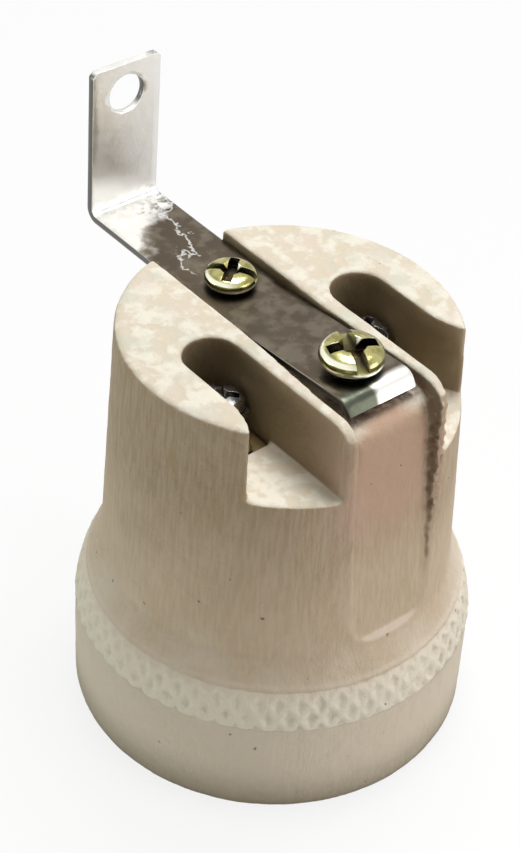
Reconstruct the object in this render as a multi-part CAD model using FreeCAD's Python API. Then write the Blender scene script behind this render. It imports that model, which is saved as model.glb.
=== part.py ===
# E27 porcelain lamp holder on a bent steel mounting strap. Sizes are in millimetres.
#
# Origin: centre of the mouth rim, which the holder stands on. +Z runs up the lamp axis to the
# terminal end. X runs along the strap, with its upright tab at -X. The neutral wire pocket is
# on -Y and the live one on +Y.
import FreeCAD, Part
import math
import os

V = FreeCAD.Vector
AXIS_Z = V(0, 0, 1)
ORIGIN = V(0, 0, 0)

# Porcelain, outside
BODY_HEIGHT = 48.2
COLLAR_DIAMETER = 43.5
COLLAR_HEIGHT = 8.5
SHOULDER_HEIGHT = 11.4
KINK_DIAMETER = 37.8
TOP_DIAMETER = 35.2
TOP_ROUNDING = 0.6
RIB_END_ROUNDING = 2.6
RIM_ROUNDING = 0.8
BELT_BOTTOM = 3.6
BELT_HEIGHT = 4.7
BELT_PROUD = 0.15

# Porcelain, lamp cavity
MOUTH_DIAMETER = 36.0
MOUTH_DEPTH = 9.5
SHELL_BORE_DIAMETER = 28.8
CAVITY_DEPTH = 33.0
CAVITY_CHAMFER = 1.0

# Mounting strap
STRAP_WIDTH = 8.6
STRAP_THICKNESS = 0.8
STRAP_BEND_RADIUS = 0.7
STRAP_CORNER = 0.8
TAB_REACH = 28.1
TAB_HEIGHT = 17.2
TAB_HOLE_HEIGHT = 13.6
TAB_HOLE_DIAMETER = 4.3
RISE_START = -6.2
RISE = 1.6
LIP_START = 12.9
LIP_LENGTH = 1.5
LIP_ANGLE = 52.0

# Channel for the strap across the top, and the flat groove below its near end
CHANNEL_DEPTH = 1.8
CHANNEL_SIDE_CLEARANCE = 0.3
CHANNEL_FLARE_START = 0.0
CHANNEL_FLARE_END = 11.0
CHANNEL_FLARE = 0.6
GROOVE_TOP_DEPTH = 2.3
GROOVE_FOOT_DEPTH = 0.8
GROOVE_LEDGE_HEIGHT = 0.4
GROOVE_TOP_ROUNDING = 2.5
GROOVE_FOOT_CORNER = 2.8

# Wire pockets
RIB_THICKNESS = 1.9
POCKET_WIDTH = 6.0
POCKET_BACK = 3.5
NOTCH_DEPTH = 8.5
SEAT_STEP = 1.7
SEAT_FRONT = 5.5
FLARE_START = 6.5
FLARE_RADIUS = 7.3
FLARE_ANGLE = 50.0

# Strap screws and nuts
FRONT_SCREW_X = 9.1
REAR_SCREW_X = -9.65
FRONT_SCREW = {"diameter": 3.5, "head": 6.6, "head_height": 2.6, "slot": 1.1, "turn": -21.0}
REAR_SCREW = {"diameter": 3.0, "head": 5.5, "head_height": 2.1, "slot": 0.9, "turn": 38.0}
FRONT_NUT = {"flats": 6.0, "height": 2.8}
REAR_NUT = {"flats": 5.5, "height": 2.4}
NUT_SEAT_DEPTH = 5.6
NUT_SIDE_CLEARANCE = 0.15
NUT_CHAMFER = 0.4
SCREW_PROTRUSION = 0.6
SCREW_POINT = 0.4
HEAD_UNDERSIDE_ROUNDING = 0.35
STRAP_HOLE_CLEARANCE = 0.25
BODY_HOLE_CLEARANCE = 0.35
THREAD_CLEARANCE = 0.05
CROSS_SHARE = 0.62
RECESS_SHARE = 0.55

# Terminals
TERMINAL_SCREW = {"diameter": 3.0, "head": 5.0, "head_height": 2.0, "slot": 0.8, "turn": 0.0}
TERMINAL_SCREW_X = 0.9
TERMINAL_SCREW_LENGTH = 5.0
TERMINAL_RIVET_X = 4.2
TERMINAL_SIDE_CLEARANCE = 0.2
PLATE_THICKNESS = 1.2
CLAMP_WIDTH = 5.0
CLAMP_THICKNESS = 0.9
CLAMP_CORNER = 0.4
CLAMP_CLEARANCE = 0.2
CLAMP_LIFT = 2.1
CLAMP_TRAVEL_DOWN = 2.0
RELIEF_SIDE_CLEARANCE = 0.25
RELIEF_TIP_CLEARANCE = 0.4

# Rivets through the web between the pockets and the lamp cavity
RIVET_DIAMETER = 1.8
RIVET_TOP_HEAD = 2.5
RIVET_TOP_HEIGHT = 0.7
RIVET_LOWER_HEAD = 3.2
RIVET_LOWER_HEIGHT = 0.8
RIVET_CLEARANCE = 0.05

# Screw shell, rolled from sheet: an E27 lamp cap thread
THREAD_MAJOR_DIAMETER = 26.6
THREAD_MINOR_DIAMETER = 24.5
THREAD_PITCH = 3.62
THREAD_TURNS = 5
SHELL_THICKNESS = 0.35
SHELL_SETBACK = 0.8
SHELL_FLARE = 0.5
SHELL_FLANGE_INNER_DIAMETER = 22.4
SHELL_LUG_DIAMETER = 4.6
LIVE_GAP_DIAMETER = 8.0
LIVE_GAP_WALL_MARGIN = 0.6

# Centre contact
LEAF_WIDTH = 4.6
LEAF_THICKNESS = 0.4
LEAF_FOOT = 2.8
LEAF_DROP = 3.6
LEAF_PAD_START = 7.9
LEAF_BEND_RADIUS = 0.8
BUTTON_DIAMETER = 4.2
BUTTON_HEIGHT = 1.0
BUTTON_SHANK_DIAMETER = 1.8
BUTTON_HEAD_DIAMETER = 2.8
BUTTON_HEAD_HEIGHT = 0.4
BUTTON_DOME = 0.3

# Levels and widths that follow
COLLAR_RADIUS = COLLAR_DIAMETER / 2
KINK_RADIUS = KINK_DIAMETER / 2
TOP_RADIUS = TOP_DIAMETER / 2
KINK_Z = COLLAR_HEIGHT + SHOULDER_HEIGHT
CHANNEL_FLOOR = BODY_HEIGHT - CHANNEL_DEPTH
STRAP_TOP = CHANNEL_FLOOR + STRAP_THICKNESS
CHANNEL_HALF = STRAP_WIDTH / 2 + CHANNEL_SIDE_CLEARANCE
CHANNEL_END_HALF = CHANNEL_HALF + CHANNEL_FLARE
POCKET_Y = CHANNEL_HALF + RIB_THICKNESS + POCKET_WIDTH / 2
NOTCH_FLOOR = BODY_HEIGHT - NOTCH_DEPTH
SEAT_FLOOR = NOTCH_FLOOR - SEAT_STEP
PLATE_TOP = SEAT_FLOOR + PLATE_THICKNESS
CLAMP_BOTTOM = PLATE_TOP + CLAMP_LIFT
TERMINAL_HEAD_SEAT = CLAMP_BOTTOM + CLAMP_THICKNESS
NUT_CEILING = CAVITY_DEPTH + NUT_SEAT_DEPTH
ABOVE = BODY_HEIGHT + 10
FAR = COLLAR_DIAMETER + 10


def face_of(start, steps, place):
    """A flat face. Each step is a point, or a pair of points for an arc through the first."""
    edges = []
    here = start
    for step in steps:
        if isinstance(step[0], tuple):
            through, end = step
            edges.append(Part.Arc(place(here), place(through), place(end)).toShape())
        else:
            end = step
            edges.append(Part.LineSegment(place(here), place(end)).toShape())
        here = end
    return Part.Face(Part.Wire(edges))


def in_xz(point):
    """Place an (x, z) point on the plane y = 0."""
    return V(point[0], 0, point[1])


def in_xy(point):
    """Place an (x, y) point on the plane z = 0."""
    return V(point[0], point[1], 0)


def turned(start, steps):
    """A solid turned about the Z axis from an outline of (radius, height) points."""
    return face_of(start, steps, in_xz).revolve(ORIGIN, AXIS_Z, 360)


def rod(radius, bottom, top, x=0.0, y=0.0):
    """An upright cylinder between two heights."""
    return Part.makeCylinder(radius, top - bottom, V(x, y, bottom), AXIS_Z)


def block(x_range, y_range, z_range):
    """A box between two limits along each axis."""
    low = V(x_range[0], y_range[0], z_range[0])
    return Part.makeBox(x_range[1] - x_range[0], y_range[1] - y_range[0], z_range[1] - z_range[0], low)


def slab(face, bottom, top):
    """A face on z = 0 made into a plate between two heights."""
    plate = face.extrude(V(0, 0, top - bottom))
    plate.translate(V(0, 0, bottom))
    return plate


def mirrored(shape):
    """The same shape on the other side of the strap."""
    return shape.mirror(ORIGIN, V(0, 1, 0))


def arc_middle(centre, first, last):
    """The point half-way along the shorter arc about a centre."""
    across = ((first[0] + last[0]) / 2 - centre[0], (first[1] + last[1]) / 2 - centre[1])
    scale = math.dist(centre, first) / math.hypot(*across)
    return (centre[0] + across[0] * scale, centre[1] + across[1] * scale)


def folded_strip(path, thickness, inner_radius, width):
    """A strip bent along a centre line of (x, z) points, its width centred on y = 0."""
    runs = []
    for first, last in zip(path, path[1:]):
        length = math.dist(first, last)
        runs.append(((last[0] - first[0]) / length, (last[1] - first[1]) / length))
    radius = inner_radius + thickness / 2

    def side(offset):
        points = [(path[0][0] - runs[0][1] * offset, path[0][1] + runs[0][0] * offset)]
        for corner, before, after in zip(path[1:], runs, runs[1:]):
            turn = math.atan2(before[0] * after[1] - before[1] * after[0],
                              before[0] * after[0] + before[1] * after[1])
            back = radius * math.tan(abs(turn) / 2)
            bend = math.copysign(radius, turn)
            enter = (corner[0] - before[0] * back, corner[1] - before[1] * back)
            leave = (corner[0] + after[0] * back, corner[1] + after[1] * back)
            centre = (enter[0] - before[1] * bend, enter[1] + before[0] * bend)
            first = (enter[0] - before[1] * offset, enter[1] + before[0] * offset)
            last = (leave[0] - after[1] * offset, leave[1] + after[0] * offset)
            points += [first, (arc_middle(centre, first, last), last)]
        points.append((path[-1][0] - runs[-1][1] * offset, path[-1][1] + runs[-1][0] * offset))
        return points

    left = side(thickness / 2)
    right = side(-thickness / 2)
    back_along = []
    for index in range(len(right) - 1, -1, -1):
        step = right[index]
        end = step[1] if isinstance(step[0], tuple) else step
        if index + 1 < len(right) and isinstance(right[index + 1][0], tuple):
            back_along.append((right[index + 1][0], end))
        else:
            back_along.append(end)
    section = face_of(left[0], left[1:] + back_along + [left[0]], in_xz)
    strip = section.extrude(V(0, width, 0))
    strip.translate(V(0, -width / 2, 0))
    return strip


# Porcelain body

def shoulder_radius(height):
    """Radius of the convex shoulder, which leaves the collar wall without a corner."""
    step = COLLAR_RADIUS - KINK_RADIUS
    curve = (step ** 2 + SHOULDER_HEIGHT ** 2) / (2 * step)
    return COLLAR_RADIUS - curve + math.sqrt(curve ** 2 - (height - COLLAR_HEIGHT) ** 2)


def barrel_radius(height):
    """Radius of the tapered barrel."""
    return TOP_RADIUS + (KINK_RADIUS - TOP_RADIUS) * (BODY_HEIGHT - height) / (BODY_HEIGHT - KINK_Z)


def porcelain_outside():
    """Collar, shoulder and tapered barrel, turned, with rounded rim and top edges."""
    rim = RIM_ROUNDING
    top = TOP_ROUNDING
    corner = 1 - math.sqrt(0.5)
    edge_radius = barrel_radius(BODY_HEIGHT - top)
    middle_z = COLLAR_HEIGHT + SHOULDER_HEIGHT / 2
    return turned((0, 0), [
        (COLLAR_RADIUS - rim, 0),
        ((COLLAR_RADIUS - rim * corner, rim * corner), (COLLAR_RADIUS, rim)),
        (COLLAR_RADIUS, COLLAR_HEIGHT),
        ((shoulder_radius(middle_z), middle_z), (KINK_RADIUS, KINK_Z)),
        (edge_radius, BODY_HEIGHT - top),
        ((edge_radius - top * corner, BODY_HEIGHT - top * corner), (edge_radius - top, BODY_HEIGHT)),
        (0, BODY_HEIGHT),
        (0, 0),
    ])


def knurl_belt():
    """The plain raised belt on the shoulder that carries the knurling."""
    low = COLLAR_HEIGHT + BELT_BOTTOM
    high = low + BELT_HEIGHT
    middle = (low + high) / 2
    inside = KINK_RADIUS - 2
    return turned((inside, low), [
        (shoulder_radius(low) + BELT_PROUD, low),
        ((shoulder_radius(middle) + BELT_PROUD, middle), (shoulder_radius(high) + BELT_PROUD, high)),
        (inside, high),
        (inside, low),
    ])


def rib_end_rounding():
    """What is taken off the top edge at the near ends of the two ribs, to round them more."""
    foot = BODY_HEIGHT - RIB_END_ROUNDING
    edge = barrel_radius(foot)
    start = (edge - RIB_END_ROUNDING, BODY_HEIGHT)
    end = (edge, foot)
    trim = turned(start, [
        (arc_middle((start[0], foot), start, end), end),
        (FAR, foot),
        (FAR, ABOVE),
        (start[0], ABOVE),
        start,
    ])
    return trim.common(block((0, FAR), (-POCKET_Y, POCKET_Y), (0, ABOVE)))


def lamp_cavity():
    """Wide mouth, chamfered step and the bore for the screw shell."""
    mouth = MOUTH_DIAMETER / 2
    bore = SHELL_BORE_DIAMETER / 2
    return turned((0, -1), [
        (mouth, -1),
        (mouth, MOUTH_DEPTH),
        (bore + CAVITY_CHAMFER, MOUTH_DEPTH),
        (bore, MOUTH_DEPTH + CAVITY_CHAMFER),
        (bore, CAVITY_DEPTH),
        (0, CAVITY_DEPTH),
        (0, -1),
    ])


def strap_channel():
    """Channel across the top that runs over a rounded brow into the sloping groove flat."""
    flat_top = TOP_RADIUS - GROOVE_TOP_DEPTH
    flat_foot = KINK_RADIUS - GROOVE_FOOT_DEPTH
    ledge = KINK_Z + GROOVE_LEDGE_HEIGHT
    slope = math.atan2(flat_foot - flat_top, CHANNEL_FLOOR - ledge)
    back = GROOVE_TOP_ROUNDING * math.tan((math.pi / 2 - slope) / 2)
    enter = (flat_top - back, CHANNEL_FLOOR)
    leave = (flat_top + back * math.sin(slope), CHANNEL_FLOOR - back * math.cos(slope))
    centre = (enter[0], CHANNEL_FLOOR - GROOVE_TOP_ROUNDING)
    section = face_of((-FAR, CHANNEL_FLOOR), [
        enter,
        (arc_middle(centre, enter, leave), leave),
        (flat_foot, ledge),
        (FAR, ledge),
        (FAR, ABOVE),
        (-FAR, ABOVE),
        (-FAR, CHANNEL_FLOOR),
    ], in_xz)
    channel = section.extrude(V(0, 2 * CHANNEL_END_HALF, 0))
    channel.translate(V(0, -CHANNEL_END_HALF, 0))
    return channel.common(channel_plan()).common(groove_front(ledge))


def channel_plan():
    """Plan of the channel: parallel at the tab's side, then flared to the groove's width."""
    plan = face_of((-FAR, -CHANNEL_HALF), [
        (CHANNEL_FLARE_START, -CHANNEL_HALF),
        (CHANNEL_FLARE_END, -CHANNEL_END_HALF),
        (FAR, -CHANNEL_END_HALF),
        (FAR, CHANNEL_END_HALF),
        (CHANNEL_FLARE_END, CHANNEL_END_HALF),
        (CHANNEL_FLARE_START, CHANNEL_HALF),
        (-FAR, CHANNEL_HALF),
        (-FAR, -CHANNEL_HALF),
    ], in_xy)
    return slab(plan, 0, ABOVE)


def groove_front(ledge):
    """Front outline of channel and groove: rounded lower corners at the ledge."""
    half = CHANNEL_END_HALF
    corner = GROOVE_FOOT_CORNER
    share = corner * (1 - math.sqrt(0.5))
    front = face_of((-half, ABOVE), [
        (-half, ledge + corner),
        ((-half + share, ledge + share), (-half + corner, ledge)),
        (half - corner, ledge),
        ((half - share, ledge + share), (half, ledge + corner)),
        (half, ABOVE),
        (-half, ABOVE),
    ], lambda point: V(-FAR, point[0], point[1]))
    return front.extrude(V(2 * FAR, 0, 0))


def pocket_plan(half_width, back, front, flared):
    """Plan of the live pocket: round back end, straight sides, and a flared outer side."""
    inner = POCKET_Y - half_width
    outer = POCKET_Y + half_width
    start = (back + half_width, inner)
    if not flared:
        return face_of(start, [
            (front, inner),
            (front, outer),
            (start[0], outer),
            ((back, POCKET_Y), start),
        ], in_xy)
    centre = (FLARE_START, outer + FLARE_RADIUS)
    angle = math.radians(FLARE_ANGLE)
    flare_end = (centre[0] + FLARE_RADIUS * math.sin(angle), centre[1] - FLARE_RADIUS * math.cos(angle))
    return face_of(start, [
        (front, inner),
        (front, flare_end[1]),
        flare_end,
        (arc_middle(centre, flare_end, (FLARE_START, outer)), (FLARE_START, outer)),
        (start[0], outer),
        ((back, POCKET_Y), start),
    ], in_xy)


def wire_pocket():
    """Live side: open notch with a shallow floor, and the deeper terminal seat behind it."""
    half = POCKET_WIDTH / 2
    notch = slab(pocket_plan(half, -POCKET_BACK, FAR, True), NOTCH_FLOOR, ABOVE)
    seat = slab(pocket_plan(half, -POCKET_BACK, SEAT_FRONT, False), SEAT_FLOOR, ABOVE)
    lowest_tip = TERMINAL_HEAD_SEAT - TERMINAL_SCREW_LENGTH - CLAMP_TRAVEL_DOWN
    relief_radius = TERMINAL_SCREW["diameter"] / 2 + RELIEF_SIDE_CLEARANCE
    relief = rod(relief_radius, lowest_tip - RELIEF_TIP_CLEARANCE, SEAT_FLOOR, TERMINAL_SCREW_X, POCKET_Y)
    rivet_hole = rod(RIVET_DIAMETER / 2 + RIVET_CLEARANCE, CAVITY_DEPTH, SEAT_FLOOR, TERMINAL_RIVET_X, POCKET_Y)
    return notch.fuse([seat, relief, rivet_hole])


def nut_prism(nut, clearance, bottom, top, x):
    """A hexagon with two flats facing across the strap."""
    reach = (nut["flats"] / 2 + clearance) / math.cos(math.pi / 6)
    corners = [V(x + reach * math.cos(k * math.pi / 3), reach * math.sin(k * math.pi / 3), 0) for k in range(7)]
    return slab(Part.Face(Part.makePolygon(corners)), bottom, top)


def strap_screw_hole(screw, nut, x):
    """Clearance hole from the channel floor down to a hexagonal nut seat."""
    hole = rod(screw["diameter"] / 2 + BODY_HOLE_CLEARANCE, CAVITY_DEPTH, CHANNEL_FLOOR, x)
    return hole.fuse(nut_prism(nut, NUT_SIDE_CLEARANCE, CAVITY_DEPTH, NUT_CEILING, x))


def porcelain_body():
    """The whole moulding."""
    pocket = wire_pocket()
    cuts = [
        lamp_cavity(),
        strap_channel(),
        rib_end_rounding(),
        pocket,
        mirrored(pocket),
        strap_screw_hole(FRONT_SCREW, FRONT_NUT, FRONT_SCREW_X),
        strap_screw_hole(REAR_SCREW, REAR_NUT, REAR_SCREW_X),
    ]
    return porcelain_outside().fuse(knurl_belt()).removeSplitter().cut(cuts)


# Strap and its fasteners

def strap_top(x):
    """Height of the strap's upper face, which springs up off the channel floor at its near end."""
    slope = RISE / (LIP_START - RISE_START)
    level = STRAP_TOP - STRAP_THICKNESS / 2
    return level + slope * (x - RISE_START) + STRAP_THICKNESS / 2 * math.hypot(1, slope)


def mounting_bracket():
    """Steel strap: upright tab with a hole, run with two holes, and a turned-down end lip."""
    half = STRAP_THICKNESS / 2
    level = STRAP_TOP - half
    tab_x = -TAB_REACH - half
    droop = math.radians(LIP_ANGLE)
    lip = (LIP_START, level + RISE)
    end = (lip[0] + LIP_LENGTH * math.cos(droop), lip[1] - LIP_LENGTH * math.sin(droop))
    path = [(tab_x, STRAP_TOP + TAB_HEIGHT), (tab_x, level), (RISE_START, level), lip, end]
    strap = folded_strip(path, STRAP_THICKNESS, STRAP_BEND_RADIUS, STRAP_WIDTH)
    tab_top = STRAP_TOP + TAB_HEIGHT
    corners = [edge for edge in strap.Edges
               if edge.BoundBox.ZMin > tab_top - STRAP_CORNER and edge.BoundBox.XLength > half]
    strap = strap.makeFillet(STRAP_CORNER, corners)
    tab_hole = Part.makeCylinder(TAB_HOLE_DIAMETER / 2, 4 * STRAP_THICKNESS,
                                 V(tab_x - 2 * STRAP_THICKNESS, 0, STRAP_TOP + TAB_HOLE_HEIGHT), V(1, 0, 0))
    holes = [tab_hole]
    for screw, x in ((FRONT_SCREW, FRONT_SCREW_X), (REAR_SCREW, REAR_SCREW_X)):
        holes.append(rod(screw["diameter"] / 2 + STRAP_HOLE_CLEARANCE, CHANNEL_FLOOR - 1, ABOVE, x))
    return strap.cut(holes)


def pan_screw(screw, seat, tip, x, y):
    """A pan-head screw: rounded head on a seat height, slot with a short cross, chamfered point."""
    radius = screw["head"] / 2
    height = screw["head_height"]
    shank = screw["diameter"] / 2
    corner = height * RECESS_SHARE
    share = corner * (1 - math.sqrt(0.5))
    under = HEAD_UNDERSIDE_ROUNDING
    under_share = under * (1 - math.sqrt(0.5))
    body = turned((0, tip), [
        (shank - SCREW_POINT, tip),
        (shank, tip + SCREW_POINT),
        (shank, seat),
        (radius - under, seat),
        ((radius - under_share, seat + under_share), (radius, seat + under)),
        (radius, seat + height - corner),
        ((radius - share, seat + height - share), (radius - corner, seat + height)),
        (0, seat + height),
        (0, tip),
    ])
    floor = seat + height * (1 - RECESS_SHARE)
    half = screw["slot"] / 2
    slot = block((-radius - 1, radius + 1), (-half, half), (floor, seat + height + 1))
    cross = block((-half, half), (-radius * CROSS_SHARE, radius * CROSS_SHARE), (floor, seat + height + 1))
    cutter = slot.fuse(cross)
    screw_solid = body.cut(cutter)
    screw_solid.rotate(ORIGIN, AXIS_Z, screw["turn"])
    screw_solid.translate(V(x, y, 0))
    return screw_solid


def strap_screw(screw, nut, x, seat):
    """A screw from the top of the strap to just past its nut."""
    tip = NUT_CEILING - nut["height"] - SCREW_PROTRUSION
    return pan_screw(screw, seat, tip, x, 0.0)


def strap_nut(screw, nut, x):
    """A chamfered hexagon nut against the ceiling of its seat."""
    bottom = NUT_CEILING - nut["height"]
    reach = nut["flats"] / 2 / math.cos(math.pi / 6)
    trim = turned((0, bottom), [
        (reach - NUT_CHAMFER, bottom),
        (reach, bottom + NUT_CHAMFER / 2),
        (reach, NUT_CEILING - NUT_CHAMFER / 2),
        (reach - NUT_CHAMFER, NUT_CEILING),
        (0, NUT_CEILING),
        (0, bottom),
    ])
    trim.translate(V(x, 0, 0))
    bore = rod(screw["diameter"] / 2 + THREAD_CLEARANCE, bottom - 1, NUT_CEILING + 1, x)
    return nut_prism(nut, 0.0, bottom, NUT_CEILING, x).common(trim).cut(bore)


# Terminals, made for the live side

def terminal_plate():
    """Threaded brass plate that fills the seat and is riveted through the web."""
    half = POCKET_WIDTH / 2 - TERMINAL_SIDE_CLEARANCE
    plan = pocket_plan(half, TERMINAL_SIDE_CLEARANCE - POCKET_BACK, SEAT_FRONT - TERMINAL_SIDE_CLEARANCE, False)
    plate = slab(plan, SEAT_FLOOR, PLATE_TOP)
    thread = rod(TERMINAL_SCREW["diameter"] / 2 + THREAD_CLEARANCE, SEAT_FLOOR - 1, PLATE_TOP + 1,
                 TERMINAL_SCREW_X, POCKET_Y)
    rivet = rod(RIVET_DIAMETER / 2 + RIVET_CLEARANCE, SEAT_FLOOR - 1, PLATE_TOP + 1, TERMINAL_RIVET_X, POCKET_Y)
    return plate.cut([thread, rivet])


def clamp_washer():
    """Rectangular wire clamp under the terminal screw's head, short enough to miss the rivet."""
    half_length = TERMINAL_RIVET_X - RIVET_TOP_HEAD / 2 - CLAMP_CLEARANCE - TERMINAL_SCREW_X
    half_width = CLAMP_WIDTH / 2
    plate = block((TERMINAL_SCREW_X - half_length, TERMINAL_SCREW_X + half_length),
                  (POCKET_Y - half_width, POCKET_Y + half_width), (CLAMP_BOTTOM, TERMINAL_HEAD_SEAT))
    uprights = [edge for edge in plate.Edges if edge.BoundBox.ZLength > CLAMP_THICKNESS / 2]
    plate = plate.makeFillet(CLAMP_CORNER, uprights)
    return plate.cut(rod(TERMINAL_SCREW["diameter"] / 2 + THREAD_CLEARANCE, CLAMP_BOTTOM - 1,
                         TERMINAL_HEAD_SEAT + 1, TERMINAL_SCREW_X, POCKET_Y))


def terminal_screw():
    """Terminal screw, partly open, with its head on the clamp washer."""
    tip = TERMINAL_HEAD_SEAT - TERMINAL_SCREW_LENGTH
    return pan_screw(TERMINAL_SCREW, TERMINAL_HEAD_SEAT, tip, TERMINAL_SCREW_X, POCKET_Y)


def web_rivet(lower_seat):
    """A rivet from what it holds under the web to the top of the terminal plate."""
    corner = RIVET_TOP_HEIGHT / 2
    share = corner * (1 - math.sqrt(0.5))
    top = RIVET_TOP_HEAD / 2
    low = RIVET_LOWER_HEAD / 2
    rivet = turned((0, lower_seat - RIVET_LOWER_HEIGHT), [
        (low - corner, lower_seat - RIVET_LOWER_HEIGHT),
        ((low - share, lower_seat - RIVET_LOWER_HEIGHT + share), (low, lower_seat - RIVET_LOWER_HEIGHT + corner)),
        (low, lower_seat),
        (RIVET_DIAMETER / 2, lower_seat),
        (RIVET_DIAMETER / 2, PLATE_TOP),
        (top, PLATE_TOP),
        (top, PLATE_TOP + RIVET_TOP_HEIGHT - corner),
        ((top - share, PLATE_TOP + RIVET_TOP_HEIGHT - share), (top - corner, PLATE_TOP + RIVET_TOP_HEIGHT)),
        (0, PLATE_TOP + RIVET_TOP_HEIGHT),
        (0, lower_seat - RIVET_LOWER_HEIGHT),
    ])
    rivet.translate(V(TERMINAL_RIVET_X, POCKET_Y, 0))
    return rivet


# Lamp contacts

def shell_side(thickness, bottom, top):
    """Points up one side of the rolled wall: flare, thread rings, then the straight neck."""
    major = THREAD_MAJOR_DIAMETER / 2 + thickness
    minor = THREAD_MINOR_DIAMETER / 2 + thickness
    quarter = THREAD_PITCH / 4
    points = [(major + SHELL_FLARE, bottom)]
    level = bottom + quarter
    for _turn in range(THREAD_TURNS):
        points += [(major, level), (major, level + quarter)]
        points += [(minor, level + 2 * quarter), (minor, level + 3 * quarter)]
        level += THREAD_PITCH
    return points + [(major, level), (major, top)]


def screw_shell():
    """Rolled thread sleeve with an in-turned flange against the cavity ceiling."""
    bottom = MOUTH_DEPTH + SHELL_SETBACK
    flange_bottom = CAVITY_DEPTH - SHELL_THICKNESS
    flange_inner = SHELL_FLANGE_INNER_DIAMETER / 2
    outside = shell_side(SHELL_THICKNESS, bottom, CAVITY_DEPTH)
    inside = shell_side(0.0, bottom, flange_bottom)
    outline = outside[1:] + [(flange_inner, CAVITY_DEPTH), (flange_inner, flange_bottom)] + inside[::-1]
    shell = turned(outside[0], outline + [outside[0]])
    gap = rod(LIVE_GAP_DIAMETER / 2, flange_bottom - 1, CAVITY_DEPTH + 1, TERMINAL_RIVET_X, POCKET_Y)
    keep = rod(THREAD_MAJOR_DIAMETER / 2 - LIVE_GAP_WALL_MARGIN, flange_bottom - 1, CAVITY_DEPTH + 1)
    lug = rod(SHELL_LUG_DIAMETER / 2, flange_bottom, CAVITY_DEPTH, TERMINAL_RIVET_X, -POCKET_Y)
    hole = rod(RIVET_DIAMETER / 2 + RIVET_CLEARANCE, flange_bottom - 1, CAVITY_DEPTH + 1,
               TERMINAL_RIVET_X, -POCKET_Y)
    return shell.cut(gap.common(keep)).fuse(lug.common(keep)).removeSplitter().cut(hole)


def leaf_reach():
    """Distance in plan from the live rivet to the lamp axis."""
    return math.hypot(TERMINAL_RIVET_X, POCKET_Y)


def contact_leaf():
    """Springy strip from the live rivet, dropping to a flat pad on the lamp axis."""
    half = LEAF_THICKNESS / 2
    high = CAVITY_DEPTH - half
    end_radius = LEAF_WIDTH / 2
    reach = leaf_reach()
    path = [(-end_radius, high), (LEAF_FOOT, high), (LEAF_PAD_START, high - LEAF_DROP),
            (reach + end_radius, high - LEAF_DROP)]
    strip = folded_strip(path, LEAF_THICKNESS, LEAF_BEND_RADIUS, LEAF_WIDTH)
    plan = face_of((0, -end_radius), [
        (reach, -end_radius),
        ((reach + end_radius, 0), (reach, end_radius)),
        (0, end_radius),
        ((-end_radius, 0), (0, -end_radius)),
    ], in_xy)
    strip = strip.common(slab(plan, 0, BODY_HEIGHT))
    rivet = rod(RIVET_DIAMETER / 2 + RIVET_CLEARANCE, 0, BODY_HEIGHT)
    shank = rod(BUTTON_SHANK_DIAMETER / 2 + RIVET_CLEARANCE, 0, BODY_HEIGHT, reach)
    leaf = strip.cut([rivet, shank])
    leaf.rotate(ORIGIN, AXIS_Z, math.degrees(math.atan2(-POCKET_Y, -TERMINAL_RIVET_X)))
    leaf.translate(V(TERMINAL_RIVET_X, POCKET_Y, 0))
    return leaf


def contact_button():
    """Domed button on the lamp axis, riveted up through the leaf's pad."""
    pad_bottom = CAVITY_DEPTH - LEAF_DROP - LEAF_THICKNESS
    pad_top = pad_bottom + LEAF_THICKNESS
    radius = BUTTON_DIAMETER / 2
    shank = BUTTON_SHANK_DIAMETER / 2
    head = BUTTON_HEAD_DIAMETER / 2
    sphere = (radius ** 2 + BUTTON_DOME ** 2) / (2 * BUTTON_DOME)
    base = pad_bottom - BUTTON_HEIGHT
    half_way = base + sphere - math.sqrt(sphere ** 2 - (radius / 2) ** 2)
    return turned((0, base), [
        ((radius / 2, half_way), (radius, base + BUTTON_DOME)),
        (radius, pad_bottom),
        (shank, pad_bottom),
        (shank, pad_top),
        (head, pad_top),
        (head, pad_top + BUTTON_HEAD_HEIGHT),
        (0, pad_top + BUTTON_HEAD_HEIGHT),
        (0, base),
    ])


def all_parts():
    """Every piece by its node name."""
    plate = terminal_plate()
    washer = clamp_washer()
    screw = terminal_screw()
    front_seat = strap_top(FRONT_SCREW_X + FRONT_SCREW["head"] / 2 - HEAD_UNDERSIDE_ROUNDING)
    return {
        "porcelain_body": porcelain_body(),
        "mounting_bracket": mounting_bracket(),
        "bracket_screw_front": strap_screw(FRONT_SCREW, FRONT_NUT, FRONT_SCREW_X, front_seat),
        "bracket_screw_rear": strap_screw(REAR_SCREW, REAR_NUT, REAR_SCREW_X, STRAP_TOP),
        "bracket_nut_front": strap_nut(FRONT_SCREW, FRONT_NUT, FRONT_SCREW_X),
        "bracket_nut_rear": strap_nut(REAR_SCREW, REAR_NUT, REAR_SCREW_X),
        "live_terminal_plate": plate,
        "neutral_terminal_plate": mirrored(plate),
        "live_clamp_washer": washer,
        "neutral_clamp_washer": mirrored(washer),
        "live_terminal_screw": screw,
        "neutral_terminal_screw": mirrored(screw),
        "live_rivet": web_rivet(CAVITY_DEPTH - LEAF_THICKNESS),
        "neutral_rivet": mirrored(web_rivet(CAVITY_DEPTH - SHELL_THICKNESS)),
        "screw_shell": screw_shell(),
        "contact_leaf": contact_leaf(),
        "contact_button": contact_button(),
    }


def main():
    """Build, check and write every piece."""
    os.makedirs("parts", exist_ok=True)
    for name, shape in all_parts().items():
        if not shape.isValid() or len(shape.Solids) != 1:
            raise RuntimeError(f"{name}: {len(shape.Solids)} solids, valid {shape.isValid()}")
        shape.Solids[0].exportStep(os.path.join("parts", name + ".step"))
        print(f"{name}: {shape.Volume:.1f} mm3, {len(shape.Faces)} faces")


main()
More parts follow.
